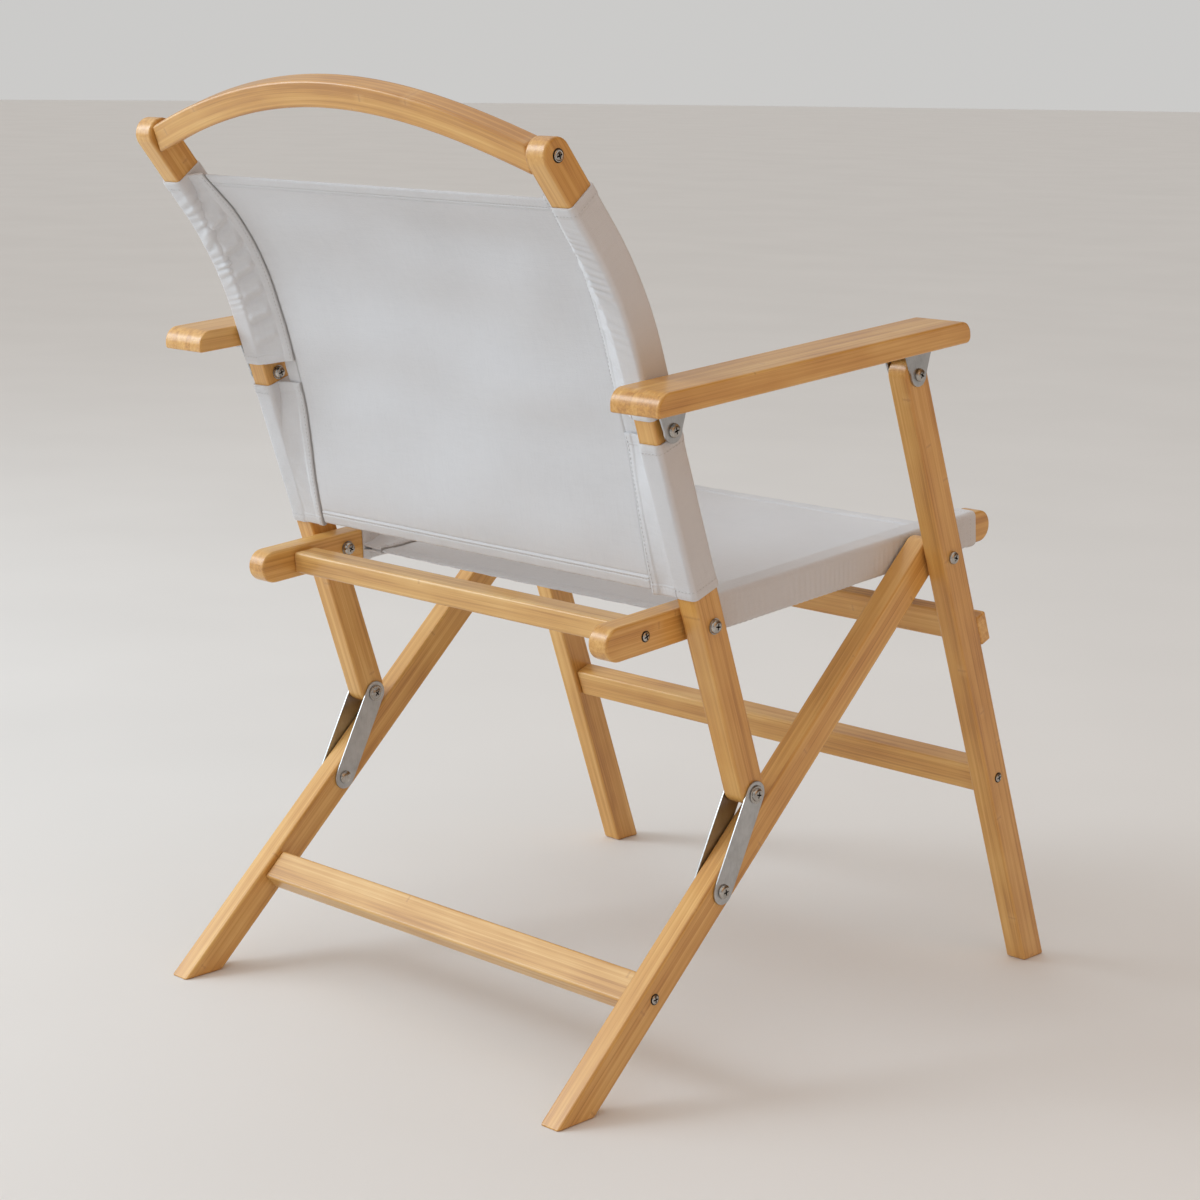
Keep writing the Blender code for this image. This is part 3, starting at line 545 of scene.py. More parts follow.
def joined(parts):
    """One object from several raw ones, as a Boolean union."""
    base = parts[0]
    for p in parts[1:]:
        m = base.modifiers.new("u", 'BOOLEAN')
        m.operation = 'UNION'
        m.solver = 'EXACT'
        m.object = p
    me = baked(base)
    for p in parts[1:]:
        bpy.data.objects.remove(p, do_unlink=True)
    ob = bpy.data.objects.new("raw", me)
    scene.collection.objects.link(ob)
    return ob


A_LEN = hypot(*sub(A_FRONT, A_REAR))
top = ARM_LIFT - 0.3
for tag, s in SIDES:
    def plate(cu):
        return [arm_pt(cu - 19, top - 1.8), arm_pt(cu + 19, top - 1.8), arm_pt(cu + 19, top), arm_pt(cu - 19, top)]
    parts = [prism(plate(A_LEN), *span(s, F_IN - 2.2, F_OUT + 2.2), no_grain),
             prism(ear(A_LEN, 10.0, 18.9, top - 0.5), *span(s, F_OUT + 0.4, F_OUT + 2.21), no_grain),
             prism(ear(A_LEN, 10.0, 18.9, top - 0.5), *span(s, F_IN - 2.21, F_IN - 0.4), no_grain)]
    metal("bracket_front_" + tag, bevelled(joined(parts), 0.4, 2), ZINC, "arm_" + tag, ["arm_bracket_front_" + tag])
    e0, e1 = B_OUT + 4.6, B_OUT + 6.4
    parts = [prism(plate(0.0), *span(s, e0, ARM_OUT - 12.0), no_grain), prism(ear(0.0, 10.0, 18.9, top - 0.5), *span(s, e0 - 0.01, e1), no_grain)]
    metal("bracket_rear_" + tag, bevelled(joined(parts), 0.4, 2), ZINC, "arm_" + tag, ["arm_bracket_rear_" + tag])


def turned(c, profile, n=40):
    verts, faces, rings = [], [], []
    for x, r in profile:
        if r <= 0.0:
            rings.append([len(verts)])
            verts.append((x, c[0], c[1]))
        else:
            rings.append(list(range(len(verts), len(verts) + n)))
            verts += [(x, c[0] + r * cos(2 * pi * i / n), c[1] + r * sin(2 * pi * i / n)) for i in range(n)]
    for a, b in zip(rings[:-1], rings[1:]):
        for i in range(n):
            j = (i + 1) % n
            if len(a) == 1:
                faces.append((a[0], b[j], b[i]))
            elif len(b) == 1:
                faces.append((a[i], a[j], b[0]))
            else:
                faces.append((a[i], a[j], b[j], b[i]))
    return raw_object(verts, faces)


def cross_cut(c, x0, x1, arm, wide, ang):
    """Cross-shaped cutter for a driver recess."""
    pts = []
    for q in range(4):
        t0 = ang + q * pi / 2
        for rr, off in ((wide / 2 * 1.0, -1), (arm, -1), (arm, 1)):
            if rr == wide / 2:
                pts.append((c[0] + wide / 2 * cos(t0) + wide / 2 * sin(t0), c[1] + wide / 2 * sin(t0) - wide / 2 * cos(t0)))
            else:
                pts.append((c[0] + arm * cos(t0) - off * wide / 2 * sin(t0), c[1] + arm * sin(t0) + off * wide / 2 * cos(t0)))
    return prism(pts, min(x0, x1), max(x0, x1), no_grain)


def bolt(name, c, s, prof, body, node, recess=None, ang=0.4, socket=0.0):
    """Turned bolt, screw or nut with a cross recess in painted shade; socket is the radius of the counterbore it sits
    in, drawn as a ring of painted shade.
    """
    ob = turned(c, [(s * x, r) for x, r in prof])
    ob.data.materials.append(NICKEL)
    if recess:
        for face, into in recess:
            cut = cross_cut(c, s * face, s * into, 2.7, 1.25, ang)
            # the recess walls take the near-black material: painted shade inside the recess
            cut.data.materials.append(RECESS_SHADE)
            m = ob.modifiers.new("x", 'BOOLEAN')
            m.operation = 'DIFFERENCE'
            m.solver = 'EXACT'
            m.material_mode = 'TRANSFER'
            m.object = cut
            me = baked(ob)
            bpy.data.objects.remove(cut, do_unlink=True)
            ob = bpy.data.objects.new("raw", me)
            scene.collection.objects.link(ob)
    me = ob.data.copy()
    bpy.data.objects.remove(ob, do_unlink=True)
    me.shade_smooth()
    me.set_sharp_from_angle(angle=radians(32))
    made = metal(name, me, None, body, [node])
    # a ring of painted shade in the counterbore round the head
    if socket:
        x = prof[0][0]
        ring = turned(c, [(s * (x - 0.26), socket), (s * (x + 0.12), socket), (s * (x + 0.12), socket - 0.5), (s * (x - 0.1), socket - 1.0), (s * (x - 0.1), 2.9), (s * (x - 0.26), 2.9), (s * (x - 0.26), socket)], 32)
        me = ring.data.copy()
        bpy.data.objects.remove(ring, do_unlink=True)
        me.shade_smooth()
        me.set_sharp_from_angle(angle=radians(32))
        metal(name + "_socket_shade", me, RECESS_SHADE, body, [])
    return made


def dome(x0, x1, r, n=6):
    """Rounded head from x0 to x1 with rim radius r."""
    return [(x0 + (x1 - x0) * (0.25 + 0.75 * sin(i / n * pi / 2)), r * (1 - 0.55 * (1 - cos(i / n * pi / 2)))) for i in range(n + 1)]


R0 = 3.4
for k, (tag, s) in enumerate(SIDES):
    a = 0.3 + 0.9 * k
    bolt("screw_rail_" + tag, at(P_FRONT, D_RAIL, 335.7), s, [(S_OUT + 0.3, 0), (S_OUT + 0.3, 3.8), (S_OUT + 0.9, 3.8), (S_OUT + 1.3, 3.2), (S_OUT + 1.6, 2.2), (S_OUT + 1.7, 0)],
         "seat", "rail_screw_" + tag, [(S_OUT + 0.7, S_OUT + 3.0)], a, 4.6)
    bolt("bolt_rear_pivot_" + tag, P_REAR, s, [(S_IN + 0.4, 0), (S_IN + 0.4, R0), (B_OUT + 0.3, R0), (B_OUT + 0.3, 6.6), (B_OUT + 1.0, 6.6), (B_OUT + 1.0, 5.9)] + dome(B_OUT + 1.0, B_OUT + 4.4, 5.8) + [(B_OUT + 4.5, 0)],
         "seat", "rear_pivot_bolt_" + tag, [(B_OUT + 2.6, B_OUT + 7.0)], a + 0.5)
    bolt("nut_rear_pivot_" + tag, P_REAR, s, [(S_IN - 0.3, 0), (S_IN - 0.3, 6.6), (S_IN - 1.0, 6.6), (S_IN - 1.0, 6.0)] + dome(S_IN - 1.0, S_IN - 5.6, 5.9) + [(S_IN - 5.7, 0)],
         "seat", "rear_pivot_nut_" + tag, [(S_IN - 3.6, S_IN - 8.0)], a + 0.2)
    bolt("nut_front_pivot_" + tag, P_FRONT, s, [(S_OUT + 2.4, 0), (S_OUT + 2.4, R0), (S_IN - 1.9, R0), (S_IN - 1.9, 6.6), (S_IN - 2.6, 6.6), (S_IN - 2.6, 6.0)] + dome(S_IN - 2.6, S_IN - 7.0, 5.9) + [(S_IN - 7.1, 0)],
         "seat", "front_pivot_nut_" + tag, [(S_IN - 5.0, S_IN - 9.0)], a)
    bolt("screw_arch_" + tag, p_top, s, [(B_OUT + 0.3, 0), (B_OUT + 0.3, 4.6), (B_OUT + 0.9, 4.6), (B_OUT + 1.2, 4.0), (B_OUT + 1.0, 3.3), (B_OUT + 1.5, 2.9), (B_OUT + 1.7, 1.6), (B_OUT + 1.7, 0)],
         "back", "arch_screw_" + tag, [(B_OUT + 0.7, B_OUT + 3.0)], a, 5.4)
    bolt("bolt_front_pivot_" + tag, P_FRONT, s, [(F_IN + 0.2, 0), (F_IN + 0.2, R0), (F_OUT + 0.3, R0), (F_OUT + 0.3, 5.6)] + dome(F_OUT + 0.3, F_OUT + 4.0, 5.6) + [(F_OUT + 4.1, 0)],
         "front_frame", "front_pivot_bolt_" + tag, [(F_OUT + 2.2, F_OUT + 7.0)], a + 0.7)
    bolt("screw_front_stretcher_" + tag, (-236.3, 184.6), s, [(F_OUT + 0.3, 0), (F_OUT + 0.3, 3.8), (F_OUT + 0.8, 3.8), (F_OUT + 1.2, 3.2), (F_OUT + 1.5, 2.2), (F_OUT + 1.6, 0)],
         "front_frame", "front_stretcher_screw_" + tag, [(F_OUT + 0.6, F_OUT + 3.0)], a + 0.1, 4.6)
    bolt("screw_rear_stretcher_" + tag, at(P_FRONT, D_REAR, 466.6), s, [(B_OUT + 0.3, 0), (B_OUT + 0.3, 3.8), (B_OUT + 0.8, 3.8), (B_OUT + 1.2, 3.2), (B_OUT + 1.5, 2.2), (B_OUT + 1.6, 0)],
         "rear_frame", "rear_stretcher_screw_" + tag, [(B_OUT + 0.6, B_OUT + 3.0)], a + 0.3, 4.6)
    bolt("pin_lower_" + tag, Q_LINK, s, [(B_IN - 4.8, 0)] + [(B_IN - 4.7, 2.6), (B_IN - 4.0, 4.8), (B_IN - 3.0, 6.0), (B_IN - 2.3, 6.2), (B_IN - 2.3, R0), (B_OUT + 2.3, R0), (B_OUT + 2.3, 6.2)] + dome(B_OUT + 2.3, B_OUT + 5.0, 6.0) + [(B_OUT + 5.1, 0)],
         "link_" + tag, "link_pin_lower_" + tag, [(B_OUT + 3.5, B_OUT + 8.0)], a + 0.2)
    bolt("pin_upper_out_" + tag, P_LINK, s, [(B_OUT + 0.5, 0), (B_OUT + 0.5, R0), (B_OUT + 2.3, R0), (B_OUT + 2.3, 7.6), (B_OUT + 2.9, 7.6), (B_OUT + 3.1, 7.2), (B_OUT + 3.1, 5.7)] + dome(B_OUT + 3.1, B_OUT + 5.6, 5.5) + [(B_OUT + 5.7, 0)],
         "link_" + tag, "link_pin_upper_outer_" + tag, [(B_OUT + 4.2, B_OUT + 9.0)], a + 0.6)
    bolt("pin_upper_in_" + tag, P_LINK, s, [(B_IN - 0.5, 0), (B_IN - 0.5, R0), (B_IN - 2.3, R0), (B_IN - 2.3, 7.6), (B_IN - 2.9, 7.6), (B_IN - 3.1, 7.2), (B_IN - 3.1, 5.4), (B_IN - 4.0, 4.6), (B_IN - 4.6, 3.0), (B_IN - 4.8, 0)],
         "link_" + tag, "link_pin_upper_inner_" + tag, [(B_IN - 3.9, B_IN - 8.0)], a + 0.4)
    bolt("bolt_arm_front_" + tag, A_FRONT, s, [(F_IN - 4.6, 0), (F_IN - 4.6, 4.6), (F_IN - 2.5, 5.2), (F_IN - 2.5, R0), (F_OUT + 2.5, R0), (F_OUT + 2.5, 5.6)] + dome(F_OUT + 2.5, F_OUT + 5.6, 5.5) + [(F_OUT + 5.7, 0)],
         "arm_" + tag, "arm_bolt_front_" + tag, [(F_OUT + 4.0, F_OUT + 9.0)], a + 0.8)
    bolt("bolt_arm_rear_" + tag, A_REAR, s, [(B_IN + 0.4, 0), (B_IN + 0.4, R0), (e1 + 0.3, R0), (e1 + 0.3, 5.8)] + dome(e1 + 0.3, e1 + 3.3, 5.7) + [(e1 + 3.4, 0)],
         "arm_" + tag, "arm_bolt_rear_" + tag, [(e1 + 1.8, e1 + 7.0)], a + 0.1)
    bolt("nut_arm_rear_" + tag, A_REAR, s, [(B_IN - 0.3, 0), (B_IN - 0.3, 6.3), (B_IN - 0.9, 6.3), (B_IN - 0.9, 5.6)] + dome(B_IN - 0.9, B_IN - 4.8, 5.5) + [(B_IN - 4.9, 0)],
         "back", "arm_nut_rear_" + tag, [(B_IN - 2.8, B_IN - 8.0)], a + 0.9)

# ---------------------------------------------------------------- canvas pieces


def mm(*v):
    return Vector(v)


class Cloth:
    """Collects sheets of cloth into one mesh, with a cloth attribute in mm along the threads."""

    def __init__(self):
        self.verts, self.faces, self.attr = [], [], []

    def grid(self, top, low, uv, ni, nk, wrap=False):
        """Closed two-faced sheet from two grids of points; wrap joins the k direction into a tube."""
        base = len(self.verts)
        for layer in (top, low):
            for i in range(ni):
                for k in range(nk):
                    self.verts.append(layer[i][k])
                    self.attr.append(uv[i][k])
        lay = ni * nk
        kk = nk if wrap else nk - 1

        def idx(l, i, k):
            return base + l * lay + i * nk + k % nk
        for i in range(ni - 1):
            for k in range(kk):
                self.faces.append((idx(0, i, k), idx(0, i, k + 1), idx(0, i + 1, k + 1), idx(0, i + 1, k)))
                self.faces.append((idx(1, i, k), idx(1, i + 1, k), idx(1, i + 1, k + 1), idx(1, i, k + 1)))
        for i, flip in ((0, True), (ni - 1, False)):
            for k in range(kk):
                f = (idx(0, i, k), idx(0, i, k + 1), idx(1, i, k + 1), idx(1, i, k))
                self.faces.append(f[::-1] if flip else f)
        if not wrap:
            for k in (0, nk - 1):
                for i in range(ni - 1):
                    self.faces.append((idx(0, i, k), idx(0, i + 1, k), idx(1, i + 1, k), idx(1, i, k)))

    def build(self, name, body, nodes, mat):
        ob = raw_object(self.verts, self.faces, self.attr, "cloth")
        me = ob.data.copy()
        bpy.data.objects.remove(ob, do_unlink=True)
        me.shade_smooth()
        me.set_sharp_from_angle(angle=radians(50))
        return finish_object(name, me, mat, body, nodes)


def wave(x, seed):
    """Smooth 1-D noise in about -1..1."""
    return (sin(x * 1.0 + 6.28 * rnd(seed)) + 0.6 * sin(x * 2.3 + 6.28 * rnd(seed + 1)) + 0.4 * sin(x * 4.1 + 6.28 * rnd(seed + 2))) / 1.6


def loop_points(hx, hn, r, n_corner=6, n_x=12, n_n=14):
    """Rounded rectangle: (x, n, outward x, outward n, side) with x to the outside and n to the rear or up."""
    pts = []
    for q, (cx, cn, a0) in enumerate(((hx - r, hn - r, 0.0), (-(hx - r), hn - r, pi / 2), (-(hx - r), -(hn - r), pi), (hx - r, -(hn - r), 3 * pi / 2))):
        for i in range(n_corner + 1):
            a = a0 + i / n_corner * pi / 2
            pts.append((cx + r * cos(a), cn + r * sin(a), cos(a), sin(a)))
        m = n_x if q % 2 == 0 else n_n
        nx, nn = cos(a0 + pi / 2), sin(a0 + pi / 2)
        nxt = {0: (-(hx - r), hn), 1: (-hx, -(hn - r)), 2: (hx - r, -hn), 3: (hx, hn - r)}[q]
        last = pts[-1]
        for i in range(1, m):
            f = i / m
            pts.append((last[0] + (nxt[0] - last[0]) * f, last[1] + (nxt[1] - last[1]) * f, nx, nn))
    return pts


CL = 1.1                        # cloth thickness
LIFT = 0.35                     # cloth inner face above the wood
stitch_rows = {"back": [], "seat": []}


def sleeve(cloth, place, s, u0, u1, hx, hn, bulge, seed, step, key, ends=(True, True), hem=9.0, thin=0.0, crease_shade=None):
    """Sewn tube round a bar. place(u, x, n) gives the point; bulge(u, x, n, ox, on) the wrinkle height; the last
    argument, if given, the share of painted shade in the valleys of the gathers.
    """
    r = 3.2
    lo = loop_points(hx + LIFT, hn + LIFT, r)
    n = int((u1 - u0) / step) + 1
    us = [u0 + (u1 - u0) * i / n for i in range(n + 1)]
    top, low, uv = [], [], []
    for u in us:
        a, b, c = [], [], []
        run = 0.0
        e0 = smooth01((hem + 1.0 - (u - u0)) / 1.6) if ends[0] else 0.0
        e1 = smooth01((hem + 1.0 - (u1 - u)) / 1.6) if ends[1] else 0.0
        tuck = 0.75 * max(e0, e1)
        for on_end, uu in ((ends[0], u - u0), (ends[1], u1 - u)):
            if on_end:
                tuck -= 0.40 * exp(-((uu - hem + 1.6) / 0.9) ** 2)
        edge = min(u - u0, u1 - u)
        roll = 0.45 * (1 - smooth01(edge / 1.4))
        for q, (x, nn, ox, on) in enumerate(lo):
            h = bulge(u, x, nn, ox, on) * smooth01(edge / 7.0 + 0.25)
            t = CL + tuck * (1 - thin * smooth01((-x - 4.0) / 5.0)) - roll
            a.append(place(u, x + ox * (t + h), nn + on * (t + h), s))
            b.append(place(u, x + ox * h, nn + on * h, s))
            if q:
                run += hypot(x - lo[q - 1][0], nn - lo[q - 1][1])
            # third value: ten times the seed plus painted shade in the valleys of the gathers
            c.append((u, run + 3.0 * seed, 10.0 * int(seed) + (crease_shade(u, x, nn) if crease_shade else 0.0)))
        top.append(a)
        low.append(b)
        uv.append(c)
    cloth.grid(top, low, uv, len(us), len(lo), wrap=True)
    for on_end, u in ((ends[0], u0 + hem - 1.6), (ends[1], u1 - hem + 1.6)):
        if on_end:
            row = []
            ring = lo + lo[:1]
            if thin:
                flush = [i for i, v in enumerate(lo) if v[2] < -0.3]     # no thread between post and rail
                ring = lo[flush[-1] + 1:] + lo[:flush[0]]
            for x, nn, ox, o_n in ring:
                h = bulge(u, x, nn, ox, o_n) * smooth01(hem / 7.0 + 0.25) + CL + 0.42
                row.append((Vector(place(u, x + ox * h, nn + o_n * h, s)), Vector(place(u, x + ox * (h + 1), nn + o_n * (h + 1), s))))
            stitch_rows[key].append(row)


# back: one cut of canvas, a panel with two sleeves on each post
PANEL_U0, PANEL_U1 = 33.5, 375.4


def post_place(u, x, n, s):
    p, d = post_line(u)
    y, z = rear_of(p, d, n)
    return (s * ((B_IN + B_OUT) / 2 + x), y, z)


back = Cloth()


def gather(u, x, n, seed):
    """Gathers where the cloth is pushed together on the hollow side of the bend: their share and their phase, 0..1."""
    win = (0.30 + 0.70 * exp(-((u - 312.0) / 46.0) ** 2)) * smooth01((u - 215.0) / 40.0) * smooth01((378.0 - u) / 24.0)
    ph = u / 9.0 + 0.70 * sin(u / 19.0 + seed) + 0.34 * sin(u / 7.3 + 2.0 * seed) + 0.040 * x + 0.018 * n
    return win, (0.5 + 0.5 * sin(2 * pi * ph)) ** 0.7


def back_crease_shade(seed):
    """Painted shade inside a gather: the share by which the canvas colour goes dark in its valleys."""
    def f(u, x, n):
        win, acc = gather(u, x, n, seed)
        return 0.34 * win * (1 - acc) ** 2 * smooth01((n - 4.0) / 8.0) * (1 - smooth01((x - 6.0) / 4.0))
    return f


def back_bulge(seed, upper):
    def f(u, x, n, ox, on):
        rear = smooth01((n + 6.0) / 18.0)
        outer = smooth01((x - 6.0) / 4.4) if upper else smooth01((x - 4.0) / 6.5)
        if upper:
            win, acc = gather(u, x, n, seed)
            h = rear * (1 - 0.97 * outer) * win * (0.10 + 2.45 * acc * (0.58 + 0.42 * wave(u / 5.8 + x / 9.0, seed + 3)) * (1 - 0.035 * (x + 10.0)))
            h += outer * (0.06 * (1 + wave(u / 13.0 + n / 19.0, seed)) + 0.20 * rear * win * acc)
        else:
            h = (0.30 + rear) * 0.16 * (1 + wave(u / 15.0 + n / 16.0 + x / 12.0, seed)) * (1 - 0.8 * outer) * (1 - 0.85 * smooth01((-x - 5.0) / 5.0)) + outer * 0.04 * (1 + wave(u / 17.0, seed))
        return max(0.0, min(h, 2.5 - 1.9 * outer))
    return f


SLEEVE_END = {-1: (30.0, 165.8, 186.5, 381.0), 1: (30.0, 165.8, 186.5, 378.0)}
for k, (tag, s) in enumerate(SIDES):
    hx, hn = (B_OUT - B_IN) / 2, POST_W / 2
    e_ = SLEEVE_END[s]
    sleeve(back, post_place, s, e_[0], e_[1], hx, hn, back_bulge(3 + 2 * k, False), 3 + k, 2.4, "back", thin=1.0)
    sleeve(back, post_place, s, e_[2], e_[3], hx, hn, back_bulge(5.3 + 2.1 * k, True), 7 + k, 1.1, "back", thin=1.0, crease_shade=back_crease_shade(5.3 + 2.1 * k))

PX = B_IN - 11.5                # free edge of the panel between the sleeves
HEM = 11.2                      # turned hem along its upper and lower edge
STRIP = 7.6                     # doubled strip of each sleeve beside the seam


def bend(u, table):
    """Smooth curve through (u, value) pairs."""
    for (ua, a), (ub, b) in zip(table[:-1], table[1:]):
        if u <= ub:
            return a + (b - a) * smooth01((u - ua) / (ub - ua))
    return table[-1][1]


def seam(u):
    """Distance from the inner face of a post to the seam where its sleeve closes on the panel."""
    return bend(u, ((30.0, 22.6), (165.0, 27.0), (205.0, 28.0), (260.0, 27.0), (335.0, 23.6), (379.0, 19.0)))


def panel_n(u):
    """The panel lies in the middle plane of the posts and swings to the rear at its lower edge."""
    return bend(u, ((32.0, 14.2), (172.0, -1.6), (230.0, -2.9), (312.0, -4.6), (380.0, -1.1)))


def ridge(d, width, step, height, grooves):
    """Profile of a doubled edge d mm from its rim: a raised band with a sharp step and sunk stitch lines."""
    h = height * smooth01((width - d) / step + 0.5)
    h -= 0.60 * exp(-((d - width - 0.9) / 0.8) ** 2)
    for g_ in grooves:
        h -= 0.62 * exp(-((d - g_) / 0.7) ** 2)
    return h


def panel_point(x, u, e):
    """Panel of the back: e = -1 front face, +1 rear face; larger values stand off the cloth."""
    edge = min(u - PANEL_U0, PANEL_U1 - u)
    side = PX - abs(x)
    sew = B_IN - seam(u) - abs(x)            # distance from the seam towards the middle
    rear = e > 0
    t = CL / 2
    if edge < 14.0:
        t += ridge(edge, HEM, 0.9, 0.80 if rear else 0.45, (9.0,)) * smooth01((sew + 1.0) / 2.5)
    t -= 0.52 * exp(-((sew - 0.6) / 1.2) ** 2)
    t -= 0.75 * (1 - smooth01(edge / 1.3))
    t -= 0.30 * (1 - smooth01(side / 1.2))
    puck = 0.20 * wave(u / 6.2, 31 if x > 0 else 37) * exp(-abs(sew - 2.0) / 11.0) * smooth01(edge / 25.0)
    puck += 0.24 * wave(x / 5.2, 41 if u > 200 else 43) * exp(-edge / 10.0) * smooth01(sew / 16.0)
    calm = smooth01(sew / 70.0) * smooth01(edge / 55.0)
    broad = calm * (1.8 * wave(x / 95.0 + u / 130.0, 51) + 0.9 * wave(u / 38.0 + x / 260.0, 57))
    broad += calm * 2.0 * sin(2 * pi * (u / 98.0 - x / 640.0) + 1.2) * smooth01((u - 120.0) / 90.0)
    p, d = post_line(u)
    n = panel_n(u) + puck + broad + e * t
    y, z = rear_of(p, d, n)
    return (x, y, z)


def even(a, b, n):
    return [a + (b - a) * i / n for i in range(n + 1)]


us = even(PANEL_U0, PANEL_U0 + 1.5, 3) + even(PANEL_U0 + 1.5, PANEL_U0 + 14.0, 22)[1:] + even(PANEL_U0 + 14.0, PANEL_U1 - 14.0, 150)[1:] + even(PANEL_U1 - 14.0, PANEL_U1 - 1.5, 22)[1:] + even(PANEL_U1 - 1.5, PANEL_U1, 3)[1:]
xs = even(-PX, -PX + 26.0, 52) + even(-PX + 26.0, PX - 26.0, 100)[1:] + even(PX - 26.0, PX, 52)[1:]
# third value: noise seed 1, plus a painted shade line along the seam groove beside each sleeve
back.grid([[panel_point(x, u, 1) for x in xs] for u in us], [[panel_point(x, u, -1) for x in xs] for u in us],
          [[(u, x + 600.0, 10.0 + 0.95 * exp(-((B_IN - seam(u) - abs(x) - 0.2) / 0.9) ** 2)) for x in xs] for u in us], len(us), len(xs))
for e in (1, -1):
    for u in (PANEL_U0 + 9.0, PANEL_U1 - 9.0):
        m_ = B_IN - seam(u) - 3.0
        stitch_rows["back"].append([(Vector(panel_point(x, u, e)), Vector(panel_point(x, u, e * 3))) for x in even(-m_, m_, 220)])



def leaves(cloth, key, s, k, u0, u1, x_in, half, seam_f, n_f, spot, fold_f, pinch=(True, True), close=0.85, clear=None):
    """Both leaves of a sleeve: they leave the bar on a tangent and close on the panel at the seam."""
    qs = even(0.0, 0.55, 15) + even(0.55, 1.0, 28)[1:]
    r = 3.2
    R = r + CL * 0.5
    top_end = u1
    for side in (1, -1):
        u1 = top_end - (6.0 if side < 0 and pinch[1] and clear else 0.0)
        us = even(u0, u0 + 10.0, 16) + even(u0 + 10.0, u1 - 10.0, int((u1 - u0) / 1.3))[1:] + even(u1 - 10.0, u1, 16)[1:]

        def ends_of(u):
            c = (LIFT - r, side * (half + LIFT - r))
            tip = (seam_f(u), n_f(u) + side * 0.95)
            vx, vn = tip[0] - c[0], (tip[1] - c[1]) * side
            ang = atan2(vn, vx) + acos(R / hypot(vx, vn))
            a = (c[0] + R * cos(ang), c[1] + side * R * sin(ang))
            # at an open end the leaf lies against the bar and is drawn in to the panel
            g_ = 0.0
            for on_end, d_ in zip(pinch, (u - u0, u1 - u)):
                if on_end:
                    g_ = max(g_, close * (1 - smooth01(d_ / 48.0)))
            flat_ = (LIFT + CL * 0.5 + 0.25, n_f(u) + side * 2.4)
            a = (a[0] + (flat_[0] - a[0]) * g_, a[1] + (flat_[1] - a[1]) * g_)
            # the front leaf stays behind the line that the seat rail reaches when the chair is folded
            if clear and a[1] < clear(u):
                a = (flat_[0], clear(u))
            return a, tip

        def leaf_point(u, q, lift):
            a, b = ends_of(u)
            L_ = hypot(b[0] - a[0], b[1] - a[1])
            tx, tn = (b[0] - a[0]) / L_, (b[1] - a[1]) / L_
            ox, on = -tn * side, tx * side              # to the open side
            dq = q * L_                                 # along the leaf
            rest = L_ - dq                              # up to the seam
            end = min(u - u0, u1 - u)
            body_ = smooth01(dq / 6.0) * smooth01((rest - STRIP + 1.0) / 6.0)
            h = -0.55 * sin(pi * q) + fold_f(u, q, side, body_)
            if lift > 0:
                h += 0.75 * smooth01((9.0 - end) / 1.2 + 0.5) - 0.40 * exp(-((end - 7.4) / 0.9) ** 2) - 0.5 * (1 - smooth01(end / 1.3))
                h += 0.80 * smooth01((STRIP - rest) / 2.2 + 0.5)
                h -= 0.75 * (1 - smooth01(rest / 1.5))
            x, n = a[0] + tx * dq + ox * (h + 0.55 * lift), a[1] + tn * dq + on * (h + 0.55 * lift)
            return (s * (x_in - x), *spot(u, n))
        grid_uv = []
        for u in us:
            a, b = ends_of(u)
            L_ = hypot(b[0] - a[0], b[1] - a[1])
            # third value: noise seed 2, plus painted shade along the seam end of the leaf
            grid_uv.append([(u, 900.0 + 30.0 * q + 60.0 * side, 20.0 + 0.95 * (1 - smooth01((1 - q) * L_ / 1.3))) for q in qs])
        cloth.grid([[leaf_point(u, q, 1) for q in qs] for u in us], [[leaf_point(u, q, -1) for q in qs] for u in us], grid_uv, len(us), len(qs))
        row = []
        for u in even(u0 + 2.0, u1 - 2.0, 150):
            a, b = ends_of(u)
            q = 1.0 - 2.6 / hypot(b[0] - a[0], b[1] - a[1])
            row.append((Vector(leaf_point(u, q, 1)), Vector(leaf_point(u, q, 3))))
        stitch_rows[key].append(row)


def saw(p_):
    """Soft fold with one steep side, 0..1."""
    a = 2 * pi * p_
    return 0.5 + 0.5 * sin(a + 0.75 * sin(a))


for k, (tag, s) in enumerate(SIDES):
    e_ = SLEEVE_END[s]

    def spot_back(u, n):
        return rear_of(*post_line(u), n)

    def calm_folds(u, q, side, body_):
        return body_ * (0.40 * wave(u / 17.0 + 1.5 * q, 95 + k) + 0.15 * wave(u / 6.0, 97 + k)) + 0.20 * wave(u / 6.2, 31 if s > 0 else 37) * q

    def slant_folds(u, q, side, body_):
        mid_ = (0.25 + 0.75 * exp(-((u - 285.0) / 62.0) ** 2)) * smooth01((372.0 - u) / 25.0)
        deep = body_ * mid_ * (0.70 + 0.30 * wave(u / 33.0, 99 + k))
        h = deep * (7.6 if s > 0 else 4.6) * (saw(u / 25.0 - 0.50 * q * side + 0.22 * sin(u / 37.0 + 2.0 * k)) - 0.35)
        h += body_ * mid_ * 0.55 * wave(u / 4.4 + 2.4 * q, 91 + k) * (1 - q)
        return h + 0.20 * wave(u / 6.2, 31 if s > 0 else 37) * q
    leaves(back, "back", s, k, e_[0] + 0.6, e_[1] - 0.4, B_IN, POST_W / 2, seam, panel_n, spot_back, calm_folds, (False, True), 0.85, lambda u: (20.5 - 0.334 * u) / 0.943)
    leaves(back, "back", s, k, e_[2] + 0.4, e_[3] - 1.0, B_IN, POST_W / 2, seam, panel_n, spot_back, slant_folds, (False, True), 0.85, lambda u: -99.0)
back_cloth = back.build("back_cloth", "back", ["back_canvas"], CANVAS)

